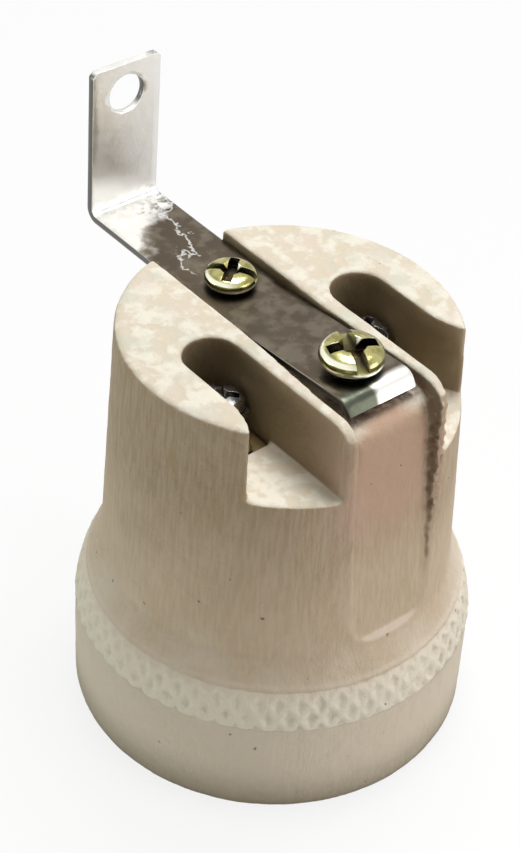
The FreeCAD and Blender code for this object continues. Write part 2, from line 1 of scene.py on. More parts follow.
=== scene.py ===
"""Dresses a porcelain E27 lamp holder on a bent steel strap.

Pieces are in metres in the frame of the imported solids, and finishes count in millimetres. The lamp
axis is +Z from the mouth rim up to the terminal end, and the strap runs along X with its upright
tab at -X.
"""
import logging
import math
from collections.abc import Callable
from dataclasses import dataclass
from enum import Enum
from typing import ClassVar

import bmesh
import bpy
import numpy as np
from mathutils import Matrix, Vector, noise


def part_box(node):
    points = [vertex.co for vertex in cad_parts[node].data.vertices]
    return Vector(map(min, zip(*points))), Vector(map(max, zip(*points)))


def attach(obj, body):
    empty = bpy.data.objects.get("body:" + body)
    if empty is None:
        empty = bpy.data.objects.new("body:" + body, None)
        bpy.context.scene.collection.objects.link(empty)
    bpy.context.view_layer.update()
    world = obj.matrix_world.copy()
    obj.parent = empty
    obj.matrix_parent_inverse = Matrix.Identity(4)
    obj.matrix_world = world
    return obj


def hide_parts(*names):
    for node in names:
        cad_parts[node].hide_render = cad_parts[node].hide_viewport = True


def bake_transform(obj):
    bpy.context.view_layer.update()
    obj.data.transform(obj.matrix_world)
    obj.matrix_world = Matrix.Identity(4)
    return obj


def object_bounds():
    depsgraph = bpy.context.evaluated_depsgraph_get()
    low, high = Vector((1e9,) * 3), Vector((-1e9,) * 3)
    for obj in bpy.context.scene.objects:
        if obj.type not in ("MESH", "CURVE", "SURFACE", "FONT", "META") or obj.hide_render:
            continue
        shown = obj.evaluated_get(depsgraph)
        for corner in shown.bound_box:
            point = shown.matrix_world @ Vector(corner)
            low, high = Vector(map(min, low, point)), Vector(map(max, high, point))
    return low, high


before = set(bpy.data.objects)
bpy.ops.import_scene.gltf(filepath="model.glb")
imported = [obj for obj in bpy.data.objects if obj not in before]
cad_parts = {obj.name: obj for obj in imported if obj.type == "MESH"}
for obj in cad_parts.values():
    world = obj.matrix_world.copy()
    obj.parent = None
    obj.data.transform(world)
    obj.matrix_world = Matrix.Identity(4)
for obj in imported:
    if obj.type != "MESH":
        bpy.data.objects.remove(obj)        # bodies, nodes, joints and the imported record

CAD_LOW, CAD_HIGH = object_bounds()
LOG = logging.getLogger("lamp_holder")
MM = 0.001
# Name of the point mark inside screw slots, where shade is painted.
RECESS = "recess"
MERGE = 0.001 * MM
SOFTENING = 0.5
BEND_STEP = math.radians(11)
LIVE_RIVET = (4.2 * MM, 9.5 * MM)

Band = tuple[float, float]
Triple = tuple[float, float, float]
Fades = tuple[tuple[str, float, float], ...]
Socket = bpy.types.NodeSocket


class Body(Enum):
    """The bodies that pieces ride on."""

    ROOT = "root"
    CONTACT = "contact"
    LIVE_SCREW = "live_screw"
    NEUTRAL_SCREW = "neutral_screw"


class Slot(Enum):
    """The record's material slots, by name; here they sort the screws onto their finishes."""

    PORCELAIN = "porcelain"
    STRAP = "strap_steel"
    SCREW = "screw_steel"
    TERMINAL_STEEL = "terminal_steel"
    SHELL = "shell_metal"
    BRONZE = "contact_bronze"


class Side(Enum):
    """The two wire pockets."""

    LIVE = "live"
    NEUTRAL = "neutral"


# Node trees

class Wire:
    """A number that flows through a node tree, on which Python's own signs work."""

    def __init__(self, sketch: "Sketch", socket: Socket) -> None:
        """Hold a node's output."""
        self.sketch, self.socket = sketch, socket

    def __add__(self, other: "Wire | float") -> "Wire":
        """Add."""
        return self.sketch.math("ADD", self, other)

    def __sub__(self, other: "Wire | float") -> "Wire":
        """Take away."""
        return self.sketch.math("SUBTRACT", self, other)

    def __rsub__(self, other: float) -> "Wire":
        """Take this away from a constant."""
        return self.sketch.math("SUBTRACT", other, self)

    def __mul__(self, other: "Wire | float") -> "Wire":
        """Multiply."""
        return self.sketch.math("MULTIPLY", self, other)

    def __pow__(self, other: float) -> "Wire":
        """Raise to a power."""
        return self.sketch.math("POWER", self, other)

    def __abs__(self) -> "Wire":
        """Drop the sign."""
        return self.sketch.math("ABSOLUTE", self)


class Sketch:
    """Adds nodes to one tree and joins them up, for materials and for geometry alike."""

    def __init__(self, tree: bpy.types.NodeTree) -> None:
        """Keep the shader or geometry tree that the nodes go into."""
        self.tree = tree

    def add(self, kind: str, inputs: dict | None = None, **settings: object) -> bpy.types.Node:
        """Add one node.

        Args:
            kind: The node's type name.
            inputs: Values, wires or sockets by input name or number.
            **settings: Properties of the node itself.

        Returns:
            The new node.
        """
        node = self.tree.nodes.new(kind)
        for name, value in settings.items():
            setattr(node, name, value)
        for key, value in (inputs or {}).items():
            self.feed(node.inputs[key], value)
        return node

    def feed(self, socket: Socket, value: object) -> None:
        """Give an input its value.

        Args:
            socket: The input to set.
            value: A wire or socket to link from, or a constant.
        """
        if isinstance(value, (Wire, bpy.types.NodeSocket)):
            self.tree.links.new(getattr(value, "socket", value), socket)
        elif isinstance(value, tuple) and socket.type == "RGBA":
            socket.default_value = (*value, 1.0)
        else:
            socket.default_value = value

    def math(self, operation: str, *values: Wire | Socket | float) -> Wire:
        """Put values through a Math node's operation, such as MULTIPLY."""
        node = self.add("ShaderNodeMath", dict(enumerate(values)), operation=operation)
        return Wire(self, node.outputs[0])

    def larger(self, first: Wire | Socket, second: Wire | Socket | float) -> Wire:
        """Take the larger of two values."""
        return self.math("MAXIMUM", first, second)

    def vectors(self, operation: str, first: Socket, second: Socket | Triple) -> bpy.types.Node:
        """Put two vectors through a Vector Math node's operation."""
        return self.add("ShaderNodeVectorMath", {0: first, 1: second}, operation=operation)

    def scaled(self, vector: Socket, factors: Triple) -> Socket:
        """Scale a vector along each axis."""
        return self.vectors("MULTIPLY", vector, factors).outputs[0]

    def parts(self, vector: Socket) -> list[Wire]:
        """Split a vector into x, y and z."""
        return [Wire(self, part) for part in self.add("ShaderNodeSeparateXYZ", {0: vector}).outputs]

    def vector(self, *parts: Wire | float) -> Socket:
        """Join x, y and z into a vector."""
        return self.add("ShaderNodeCombineXYZ", dict(enumerate(parts))).outputs[0]

    def polar(self, radius: Wire, angle: Wire, height: Wire) -> Socket:
        """Place a point by its radius, angle and height."""
        return self.vector(radius * self.math("COSINE", angle), radius * self.math("SINE", angle), height)

    def span(self, value: Wire, low: float, high: float, to_low: float = 0.0, to_high: float = 1.0) -> Wire:
        """Map a value smoothly from one range to another.

        Args:
            value: The value to map.
            low: Where the input range starts.
            high: Where the input range ends.
            to_low: The result at the start.
            to_high: The result at the end.

        Returns:
            The mapped value, kept inside the second range.
        """
        inputs = {"Value": value, "From Min": low, "From Max": high, "To Min": to_low, "To Max": to_high}
        return Wire(self, self.add("ShaderNodeMapRange", inputs, interpolation_type="SMOOTHSTEP").outputs[0])

    def mix(self, factor: Wire, first: Socket | Triple, second: Socket | Triple) -> Socket:
        """Mix two colours.

        Args:
            factor: How much of the second colour shows.
            first: The colour at 0.
            second: The colour at 1.

        Returns:
            The mixed colour.
        """
        return self.add("ShaderNodeMix", {0: factor, 6: first, 7: second}, data_type="RGBA").outputs[2]

    def grain(self, vector: Socket, scale: float, detail: float) -> Wire:
        """Add a noise pattern.

        Args:
            vector: Where it is read.
            scale: How many lumps it has in each unit of that.
            detail: How many finer octaves it holds.

        Returns:
            The pattern, from 0 to 1.
        """
        inputs = {"Vector": vector, "Scale": scale, "Detail": detail}
        return Wire(self, self.add("ShaderNodeTexNoise", inputs).outputs[0])


class Finish:
    """A material under construction, with its place on the object in millimetres."""

    steep: Band = (0.75, 0.35)

    def __init__(self, name: str, **constants: float) -> None:
        """Start a material.

        Args:
            name: The material's name.
            **constants: Values that hold all over it, by shader input with spaces as underscores.
        """
        self.material = bpy.data.materials.new(name)
        self.material.use_nodes = True
        self.sketch = Sketch(self.material.node_tree)
        self.shader = self.material.node_tree.nodes["Principled BSDF"]
        for key, value in constants.items():
            self.sketch.feed(self.shader.inputs[key.replace("_", " ")], value)
        metres = self.sketch.add("ShaderNodeTexCoord").outputs["Object"]
        self.place = self.sketch.scaled(metres, (1 / MM, 1 / MM, 1 / MM))
        self.x, self.y, self.z = self.sketch.parts(self.place)
        self.facing = self.sketch.add("ShaderNodeNewGeometry").outputs["Normal"]
        self.across, self.upward = self.sketch.parts(self.facing)[1:]
        self.off_centre, self.sideways = abs(self.y), abs(self.across)
        self.wall = self.sketch.span(abs(self.upward), *self.steep)

    def bumps(self, layers: list[tuple[Wire, float]], rounding: float = 0.0) -> None:
        """Stack height patterns and connect them to the shader's normal.

        Args:
            layers: Each pattern with its depth in millimetres.
            rounding: The radius in millimetres that edges are shaded round to, or 0.
        """
        normal = {}
        if rounding:
            round_edge = self.sketch.add("ShaderNodeBevel", {"Radius": rounding * MM}, samples=4)
            normal = {"Normal": round_edge.outputs[0]}
        for height, depth in layers:
            inputs = {"Height": height, "Distance": depth * MM, "Strength": 1.0}
            normal = {"Normal": self.sketch.add("ShaderNodeBump", inputs | normal).outputs[0]}
        self.sketch.feed(self.shader.inputs["Normal"], normal["Normal"])

    def near(self, point: Triple, inner: float, outer: float) -> Wire:
        """Mark the surroundings of a point.

        Args:
            point: The point.
            inner: The radius inside which the mark is full.
            outer: The radius where it ends.

        Returns:
            1 near the point and 0 away from it.
        """
        gap = self.sketch.vectors("DISTANCE", self.place, point).outputs["Value"]
        return self.sketch.span(Wire(self.sketch, gap), outer, inner)

    def within(self, fades: Fades) -> Wire:
        """Mark where several fades overlap.

        Args:
            fades: For each, the wire of this finish that it reads, and where it starts and is full.

        Returns:
            1 where all are full.
        """
        marks = [self.sketch.span(getattr(self, name), start, full) for name, start, full in fades]
        whole = marks[0]
        for mark in marks[1:]:
            whole = whole * mark
        return whole

    def open_air(self, reach: float, samples: int = 6) -> Wire:
        """Tell open surface, at 1, from corners that other faces stand over within a reach."""
        corner = self.sketch.add("ShaderNodeAmbientOcclusion", {"Distance": reach * MM}, samples=samples)
        return Wire(self.sketch, corner.outputs["AO"])


@dataclass(frozen=True)
class Patches:
    """Patches of noise: their size, where they start and are full, and what that becomes."""

    scale: float
    detail: float
    band: Band
    result: Band = (0.0, 1.0)
    shift: Triple = (0.0, 0.0, 0.0)

    def on(self, finish: Finish) -> Wire:
        """Lay the patches on a finish.

        Args:
            finish: The material under construction.

        Returns:
            How much of what they bring shows.
        """
        pen = finish.sketch
        place = pen.vectors("ADD", finish.place, self.shift).outputs[0]
        return pen.span(pen.grain(place, self.scale, self.detail), *self.band, *self.result)


@dataclass(frozen=True)
class PorcelainFinish:
    """Matt cream porcelain: crackled pale top, die-marked walls painted darker and browner as partly painted
    shade, painted shade in pockets and corners, small pits.
    """

    name: str = "porcelain"
    cream: Triple = (0.77, 0.68, 0.53)
    pale: Triple = (0.89, 0.84, 0.71)
    moss: Triple = (0.70, 0.68, 0.55)
    blush: Triple = (0.80, 0.68, 0.58)
    # Upright faces: paler low down, darker and browner up the barrel; partly the body's own tone, partly
    # painted shade and painted floor-bounce light.
    collar: Triple = (0.86, 0.76, 0.605)
    barrel_low: Triple = (0.70, 0.55, 0.38)
    barrel_high: Triple = (0.475, 0.355, 0.22)
    groove: Triple = (0.63, 0.43, 0.31)
    ledge: Triple = (0.88, 0.76, 0.62)
    # Dark reddish painted shade for the groove's corner and the gap under the strap's lip.
    corner_shade: Triple = (0.16, 0.08, 0.05)
    shade: Triple = (0.25, 0.19, 0.12)
    # Painted shade colour for pockets and hollows.
    hollow_shade: Triple = (0.22, 0.175, 0.10)
    pit: Triple = (0.09, 0.06, 0.04)
    roughness: float = 0.62
    shine: float = 0.3
    mark_stretch: float = 0.10
    fine_marks: Band = (2.6, 3.0)
    broad_marks: Band = (0.5, 1.0)
    mark_band: Band = (0.35, 0.65)
    mark_share: float = 0.17
    marked_squares: Band = (255.0, 300.0)
    mottle: Band = (0.55, 4.0)
    mottle_band: Band = (0.44, 0.58)
    sand: Band = (5.5, 2.0)
    depths: tuple[float, ...] = (0.30, 0.06, 0.055, 0.05, 0.08)
    moss_patches: Patches = Patches(0.30, 3.0, (0.50, 0.68), (0.0, 0.75))
    blush_patches: Patches = Patches(0.36, 3.0, (0.50, 0.66), (0.0, 0.45), (31.0, 7.0, 3.0))
    # Where shade under the strap's lip is painted on the brow.
    shaded_brow_at: Triple = (17.0, 0.0, 45.5)
    shaded_brow_reach: Band = (2.4, 5.2)
    shaded_brow_half: Fades = (("off_centre", 5.4, 4.6),)
    ledge_below: Fades = (("z", 33.0, 31.0),)
    drift: Patches = Patches(0.11, 3.0, (0.3, 0.7), (-2.5, 2.5))
    shoulder_levels: Band = (13.0, 22.0)
    barrel_levels: Band = (22.0, 40.0)
    groove_at: Triple = (16.5, -0.5, 40.0)
    groove_reach: Band = (3.0, 12.0)
    hollow_reach: float = 9.0
    hollow_band: Band = (0.92, 0.40)
    hollow_share: float = 0.80
    # The groove's side wall that faces -Y, where shade is painted.
    shaded_side: Fades = (("across", -0.35, -0.75), ("y", 3.8, 4.2), ("y", 5.9, 5.4), ("x", 12.0, 13.5),
                           ("z", 19.5, 22.0))
    ragged_shade: Patches = Patches(1.3, 4.0, (0.72, 0.58))
    corner_shade_reach: float = 1.6
    corner_shade_band: Band = (0.92, 0.60)
    corner_shade_beside: Fades = (("y", 3.9, 4.6), ("x", 12.0, 14.0))
    corner_shade_below: Fades = (("off_centre", 5.6, 5.0), ("x", 9.0, 10.0), ("z", 47.6, 47.2), ("z", 42.0, 44.0))
    corner_shade_clumps: Patches = Patches(1.6, 3.0, (0.35, 0.55), (0.5, 1.0))
    pit_scale: float = 0.55
    pit_size: float = 0.11
    pit_bias: float = 1.6
    pit_edge: float = 0.03
    pit_draw: Band = (0.42, 0.47)
    pit_share: float = 0.65
    pit_warp_scale: float = 3.0
    pit_warp: float = 0.5

    def make(self) -> bpy.types.Material:
        """Build the material.

        Returns:
            The finished material.
        """
        finish = Finish(self.name, Roughness=self.roughness, Specular_IOR_Level=self.shine)
        pen = finish.sketch
        upright = pen.scaled(finish.place, (1.0, 1.0, self.mark_stretch))
        marks, broad_marks = pen.grain(upright, *self.fine_marks), pen.grain(upright, *self.broad_marks)
        mottle, sand = pen.grain(finish.place, *self.mottle), pen.grain(finish.place, *self.sand)
        pits = self.pits(finish)
        outside = pen.span(finish.x * finish.x + finish.y * finish.y, *self.marked_squares)
        streak = pen.span(marks, *self.mark_band, 0.0, self.mark_share) * outside
        walls = pen.mix(streak, self.wall_tone(finish), self.pale)
        # Painted shade: ambient occlusion darkens the pockets and hollows.
        hollow = pen.span(finish.open_air(self.hollow_reach, 8), *self.hollow_band) * self.hollow_share
        walls = pen.mix(hollow, walls, self.hollow_shade)
        # Painted shade on the groove's side wall that faces away from the lamps, made ragged by noise.
        walls = pen.mix(finish.within(self.shaded_side) * self.ragged_shade.on(finish), walls, self.shade)
        # Upright faces take the wall colours, darker and browner than the top: partly the body's own tone,
        # partly painted shade.
        tone = pen.mix(finish.wall, self.top_tone(finish, mottle), walls)
        # Painted shade in the groove's corner and the shadow gap under the strap's lip, in clumps.
        tone = pen.mix(self.shaded_corner(finish), tone, self.corner_shade)
        tone = pen.mix(pits * self.pit_share, tone, self.pit)
        pen.feed(finish.shader.inputs["Base Color"], tone)
        heights = (mottle, broad_marks * finish.wall, marks * finish.wall * outside, sand, 1.0 - pits)
        finish.bumps(list(zip(heights, self.depths)))
        return finish.material

    def top_tone(self, finish: Finish, mottle: Wire) -> Socket:
        """Colour the faces that look up: cream with pale, mossy and pink patches, and painted shade on the
        brow under the strap's lip.

        Args:
            finish: The material under construction.
            mottle: The mottling pattern.

        Returns:
            The colour.
        """
        pen = finish.sketch
        tone = pen.mix(pen.span(mottle, *self.mottle_band), self.cream, self.pale)
        tone = pen.mix(self.moss_patches.on(finish), tone, self.moss)
        tone = pen.mix(self.blush_patches.on(finish), tone, self.blush)
        # Painted shade: the brow under the strap's lip takes the groove's darker colour.
        shaded_brow = finish.near(self.shaded_brow_at, *self.shaded_brow_reach) * finish.within(self.shaded_brow_half)
        tone = pen.mix(shaded_brow, tone, self.groove)
        return pen.mix(finish.within(self.ledge_below), tone, self.ledge)

    def wall_tone(self, finish: Finish) -> Socket:
        """Colour the upright faces, from the pale collar to the brown top of the barrel: partly the body's
        own tone, partly painted shade, with the paler collar as painted light bounced up from the floor.

        Args:
            finish: The material under construction.

        Returns:
            The colour.
        """
        pen = finish.sketch
        level = finish.z + self.drift.on(finish)
        tone = pen.mix(pen.span(level, *self.shoulder_levels), self.collar, self.barrel_low)
        tone = pen.mix(pen.span(level, *self.barrel_levels), tone, self.barrel_high)
        return pen.mix(finish.near(self.groove_at, *self.groove_reach), tone, self.groove)

    def shaded_corner(self, finish: Finish) -> Wire:
        """Find the corner along the groove's far side and the shadow gap under the strap's lip, where shade
        is painted in clumps.

        Args:
            finish: The material under construction.

        Returns:
            1 in the corner.
        """
        pen = finish.sketch
        where = pen.larger(finish.within(self.corner_shade_beside), finish.within(self.corner_shade_below))
        corner = pen.span(finish.open_air(self.corner_shade_reach), *self.corner_shade_band)
        return corner * where * self.corner_shade_clumps.on(finish)

    def pits(self, finish: Finish) -> Wire:
        """Scatter small dark specks of uneven size and shape.

        Args:
            finish: The material under construction.

        Returns:
            1 inside a speck.
        """
        pen = finish.sketch
        bend = {"Vector": finish.place, "Scale": self.pit_warp_scale, "Detail": 1.0}
        warp = pen.scaled(pen.add("ShaderNodeTexNoise", bend).outputs["Color"], (self.pit_warp,) * 3)
        jagged = pen.vectors("ADD", finish.place, warp).outputs[0]
        cells = pen.add("ShaderNodeTexVoronoi", {"Vector": jagged, "Scale": self.pit_scale})
        draws = pen.add("ShaderNodeSeparateColor", {0: cells.outputs["Color"]}).outputs
        chosen, size = Wire(pen, draws[0]), Wire(pen, draws[1]) ** self.pit_bias * self.pit_size
        speck = pen.span(size - Wire(pen, cells.outputs["Distance"]), 0.0, self.pit_edge)
        return speck * pen.span(chosen, *self.pit_draw)


@dataclass(frozen=True)
class MetalFinish:
    """Plated or bare metal with rubbed smudges, fine scratches and painted shade in its corners."""

    name: str
    bright: Triple
    dull: Triple
    # Painted shade colour for corners and recesses.
    cavity_shade: Triple = (0.03, 0.025, 0.02)
    smooth: float = 0.22
    rough: float = 0.42
    smudge_scale: float = 0.5
    smudge_band: Band = (0.4, 0.62)
    cavity_shade_reach: float = 0.9
    cavity_shade_band: Band = (0.35, 0.85)
    edge_round: float = 0.06
    scratch_stretch: Triple = (0.25, 5.0, 2.0)
    scratches: Band = (1.6, 3.0)
    scratch_depth: float = 0.008
    scratch_share: float = 0.4
    wear_band: Band = (0.2, 0.8)
    dents: Band = (0.8, 2.0)
    dent_depth: float = 0.03

    def make(self) -> bpy.types.Material:
        """Build the material.

        Returns:
            The finished material.
        """
        finish = Finish(self.name, Metallic=1.0)
        pen = finish.sketch
        # Painted shade: ambient occlusion darkens corners, recesses and the gaps under screw heads.
        open_air = pen.span(finish.open_air(self.cavity_shade_reach), *self.cavity_shade_band)
        pen.feed(finish.shader.inputs["Base Color"], pen.mix(open_air, self.cavity_shade, self.tone(finish)))
        scratches = pen.grain(pen.scaled(finish.place, self.scratch_stretch), *self.scratches)
        wear = scratches * self.scratch_share + self.smudges(finish) * (1 - self.scratch_share)
        pen.feed(finish.shader.inputs["Roughness"], pen.span(wear, *self.wear_band, self.smooth, self.rough))
        dents = pen.grain(finish.place, *self.dents)
        finish.bumps([(scratches, self.scratch_depth), (dents, self.dent_depth)], self.edge_round)
        return finish.material

    def smudges(self, finish: Finish) -> Wire:
        """Find where the metal is rubbed dull."""
        return Patches(self.smudge_scale, 4.0, self.smudge_band).on(finish)

    def tone(self, finish: Finish) -> Socket:
        """Colour the metal before the painted shade in its corners."""
        return finish.sketch.mix(self.smudges(finish), self.bright, self.dull)


@dataclass(frozen=True)
class StrapFinish(MetalFinish):
    """Bright zinc plate, dark on its sheared edges, with painted reflections: dark brown along the run, dark
    from the screw head on the lip, and a highlight in the bend's white bloom.
    """

    sheared: Triple = (0.13, 0.125, 0.115)
    # Dark brown painted reflection along the run; smudge_and_reflection also darkens the tab a little.
    dark_reflection: Triple = (0.094, 0.073, 0.050)
    smudge_and_reflection: Triple = (0.155, 0.130, 0.096)
    # White of the bloom in the bend, partly frosted plate and partly painted highlight, and of the scratch.
    frost_and_highlight: Triple = (0.93, 0.93, 0.90)
    # Dark painted reflection of the front screw's head on the lip.
    screw_head_reflection: Triple = (0.080, 0.088, 0.066)
    cloud: Patches = Patches(0.09, 2.0, (0.40, 0.66))
    screw_head_reflection_at: Triple = (13.2, -3.6, 48.0)
    screw_head_reflection_reach: Band = (2.8, 3.7)
    dusk_band: Band = (-24.0, -31.0)
    dusk_share: float = 0.16
    run_slant: float = 0.95
    run_start: Band = (-25.5, -21.0)
    run_end: Fades = (("x", 12.6, 11.6),)
    run_top: Fades = (("upward", 0.6, 0.95),)
    run_fray: Patches = Patches(0.5, 4.0, (0.3, 0.7), (-1.5, 1.5))
    reflection_patches: Patches = Patches(0.45, 6.0, (0.46, 0.64))
    edges: Fades = (("sideways", 0.5, 0.85),)
    bend: Fades = (("x", -23.6, -25.2), ("z", 49.0, 47.6))
    flakes: Patches = Patches(1.3, 4.0, (0.42, 0.52))
    scratch_ends: Fades = (("x", -12.5, -14.5),)
    scratch_face: Fades = (("upward", 0.9, 0.97),)
    scratch_foot: float = 18.0
    scratch_slope: float = 0.42
    scratch_half: Band = (0.42, 0.12)
    scratch_sway: Patches = Patches(0.45, 3.0, (0.2, 0.8), (-2.4, 2.4))
    scratch_gaps: Patches = Patches(2.2, 3.0, (0.28, 0.46))
    frost_shares: Band = (0.8, 0.5)

    def tone(self, finish: Finish) -> Socket:
        """Colour the strip before the painted shade in its corners.

        Args:
            finish: The material under construction.

        Returns:
            The colour.
        """
        pen = finish.sketch
        plate = pen.mix(self.cloud.on(finish), self.bright, self.dull)
        # Painted reflection of the front screw's head on the lip's -Y side.
        plate = pen.mix(finish.near(self.screw_head_reflection_at, *self.screw_head_reflection_reach), plate, self.screw_head_reflection)
        # The plate is darkened a little towards the tab with the same brown.
        plate = pen.mix(pen.span(finish.x, *self.dusk_band, 0.0, self.dusk_share), plate, self.smudge_and_reflection)
        # Painted reflection: the top of the flat run is painted dark brown in patches, as if mirroring dark
        # surroundings.
        frayed = finish.x + finish.y * self.run_slant + self.run_fray.on(finish)
        run = pen.span(frayed, *self.run_start) * finish.within(self.run_end) * finish.within(self.run_top)
        tone = pen.mix(run, plate, pen.mix(self.reflection_patches.on(finish), self.dark_reflection, self.smudge_and_reflection))
        # White bloom in the bend, partly a painted highlight, and a real scratch.
        tone = pen.mix(self.frosting(finish), tone, self.frost_and_highlight)
        return pen.mix(finish.within(self.edges), tone, self.sheared)

    def frosting(self, finish: Finish) -> Wire:
        """Lay white bloom in the bend, which also paints the bend's highlight, and one ragged scratch that
        runs from it down the strip.

        Args:
            finish: The material under construction.

        Returns:
            1 where the bloom is full.
        """
        pen = finish.sketch
        bloom = finish.within(self.bend) * self.flakes.on(finish)
        line = finish.y + (finish.x + self.scratch_foot) * self.scratch_slope
        line = abs(line + self.scratch_sway.on(finish))
        scratch = pen.span(line, *self.scratch_half) * finish.within(self.scratch_ends)
        scratch = scratch * self.scratch_gaps.on(finish) * finish.within(self.scratch_face)
        return pen.larger(bloom * self.frost_shares[0], scratch * self.frost_shares[1])


@dataclass(frozen=True)
class ScrewFinish(MetalFinish):
    """Yellow passivate: olive top, with painted reflections: a pale highlight on the rounded shoulder, a
    dark waist and a pale lower rim.
    """

    # Painted highlight and reflections: the rounded head's shoulder, waist and lower rim mirror bright and
    # dark surroundings.
    shoulder: Triple = (0.93, 0.92, 0.74)
    waist: Triple = (0.055, 0.055, 0.012)
    rim: Triple = (0.88, 0.89, 0.76)
    # Painted shade colour inside the slot and cross.
    recess: Triple = (0.055, 0.036, 0.016)
    side: Triple = (-0.35, -0.94, 0.0)
    highlight_side_band: Band = (-0.1, 0.45)
    highlight_slopes: Fades = (("upward", 0.40, 0.50), ("upward", 0.88, 0.76))
    waist_reflection_slopes: Fades = (("upward", 0.06, 0.12), ("upward", 0.46, 0.36))
    rim_reflection_slopes: Fades = (("upward", 0.06, -0.02),)
    waist_reflection_share: float = 0.92
    recess_share: float = 0.95

    def tone(self, finish: Finish) -> Socket:
        """Colour the screw before the painted shade in its corners.

        Args:
            finish: The material under construction.

        Returns:
            The colour.
        """
        pen = finish.sketch
        # Painted highlight on the shoulder, strongest on faces turned towards side.
        toward = Wire(pen, pen.vectors("DOT_PRODUCT", finish.facing, self.side).outputs["Value"])
        pale = finish.within(self.highlight_slopes) * pen.span(toward, *self.highlight_side_band)
        tone = pen.mix(pale, super().tone(finish), self.shoulder)
        # Painted dark reflection on the waist, then painted pale reflection on the lower rim.
        tone = pen.mix(finish.within(self.waist_reflection_slopes) * self.waist_reflection_share, tone, self.waist)
        tone = pen.mix(finish.within(self.rim_reflection_slopes), tone, self.rim)
        # Painted shade inside the slot and cross, on the points marked by mark_recess.
        cut = Wire(pen, pen.add("ShaderNodeAttribute", attribute_name=RECESS).outputs["Fac"])
        return pen.mix(cut * self.recess_share, tone, self.recess)


class Finishes:
    """One material of each kind."""

    def __init__(self) -> None:
        """Build every material once."""
        self.porcelain = PorcelainFinish().make()
        # For the belt, hollow_shade is painted shade in the knurl's pits, and the pale collar colours are
        # partly painted floor-bounce light.
        self.belt = PorcelainFinish("porcelain_belt", collar=(0.98, 0.92, 0.76),
                                    barrel_low=(0.96, 0.87, 0.69), hollow_shade=(0.40, 0.32, 0.22),
                                    hollow_reach=1.1).make()
        self.strap = StrapFinish("zinc_strip", bright=(0.84, 0.83, 0.80), dull=(0.78, 0.755, 0.71),
                                 smooth=0.30, rough=0.37, smudge_scale=0.25).make()
        self.screw = ScrewFinish("yellow_zinc", bright=(0.50, 0.46, 0.20), dull=(0.28, 0.25, 0.09),
                                 smooth=0.14, rough=0.26, smudge_scale=0.9, cavity_shade_reach=1.1,
                                 cavity_shade_band=(0.40, 0.90), edge_round=0.09).make()
        self.terminal_steel = MetalFinish("nickel_screw", bright=(0.55, 0.55, 0.56), dull=(0.30, 0.29, 0.28),
                                          smooth=0.18, rough=0.34, smudge_scale=0.8).make()
        self.brass = MetalFinish("dull_brass", bright=(0.62, 0.47, 0.22), dull=(0.34, 0.25, 0.12),
                                 smooth=0.28, rough=0.48).make()
        self.shell = MetalFinish("nickel_sheet", bright=(0.66, 0.63, 0.56), dull=(0.50, 0.47, 0.40),
                                 smooth=0.20, rough=0.36, smudge_scale=0.35, cavity_shade_reach=1.6).make()
        self.bronze = MetalFinish("spring_bronze", bright=(0.62, 0.44, 0.26), dull=(0.40, 0.27, 0.15),
                                  smooth=0.24, rough=0.40).make()


# Mesh helpers

def new_piece(name: str, mesh: bpy.types.Mesh) -> bpy.types.Object:
    """Put a mesh into the scene as a piece at the origin.

    Args:
        name: The piece's name.
        mesh: Its mesh, in place.

    Returns:
        The new object.
    """
    piece = bpy.data.objects.new(name, mesh)
    bpy.context.scene.collection.objects.link(piece)
    return piece


def merged_copy(node: str, name: str) -> bpy.types.Object:
    """Copy a solid's mesh with its loose triangles joined.

    Args:
        node: The solid's node name.
        name: The new piece's name.

    Returns:
        The copy, at the origin.
    """
    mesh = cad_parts[node].data.copy()
    mesh.materials.clear()
    work = bmesh.new()
    work.from_mesh(mesh)
    bmesh.ops.remove_doubles(work, verts=work.verts, dist=MERGE)
    work.to_mesh(mesh)
    work.free()
    return new_piece(name, mesh)


def settle(piece: bpy.types.Object) -> None:
    """Apply a piece's modifiers to its mesh.

    Args:
        piece: The piece, whose modifiers are then removed.
    """
    evaluated = piece.evaluated_get(bpy.context.evaluated_depsgraph_get())
    mesh = bpy.data.meshes.new_from_object(evaluated)
    piece.modifiers.clear()
    old = piece.data
    piece.data = mesh
    bpy.data.meshes.remove(old)


def remesh(piece: bpy.types.Object, voxel: float, ease: int) -> None:
    """Rebuild a piece with even faces and softened edges.

    Args:
        piece: The piece.
        voxel: The face size.
        ease: How many times its points are averaged.
    """
    even = piece.modifiers.new("even", "REMESH")
    even.mode = "VOXEL"
    even.voxel_size = voxel
    soft = piece.modifiers.new("soft", "SMOOTH")
    soft.factor = SOFTENING
    soft.iterations = ease
    settle(piece)


def points_of(mesh: bpy.types.Mesh, reading: str = "co") -> np.ndarray:
    """Read a mesh's points.

    Args:
        mesh: The mesh.
        reading: What to read at each point, "co" for its place or "normal".

    Returns:
        One row for each point.
    """
    flat = np.zeros(len(mesh.vertices) * 3, np.float32)
    mesh.vertices.foreach_get(reading, flat)
    return flat.reshape(-1, 3).astype(float)


def write_points(mesh: bpy.types.Mesh, points: np.ndarray) -> None:
    """Move a mesh's points, kept inside the solids' box.

    Args:
        mesh: The mesh.
        points: Its new points.
    """
    inside = np.clip(points, np.array(CAD_LOW), np.array(CAD_HIGH))
    mesh.vertices.foreach_set("co", inside.astype(np.float32).ravel())
    mesh.update()


def lumps(points: np.ndarray, size: float, seed: float) -> np.ndarray:
    """Read smooth random heights, about -1 to 1, in lumps of a size. Each seed is another pattern."""
    return np.array([noise.noise(Vector(p / size + seed)) for p in points])


def bell(values: np.ndarray, middle: float, width: float) -> np.ndarray:
    """Raise a smooth bump, 1 high at its middle, of a half-width."""
    return np.exp(-((values - middle) / width) ** 2)


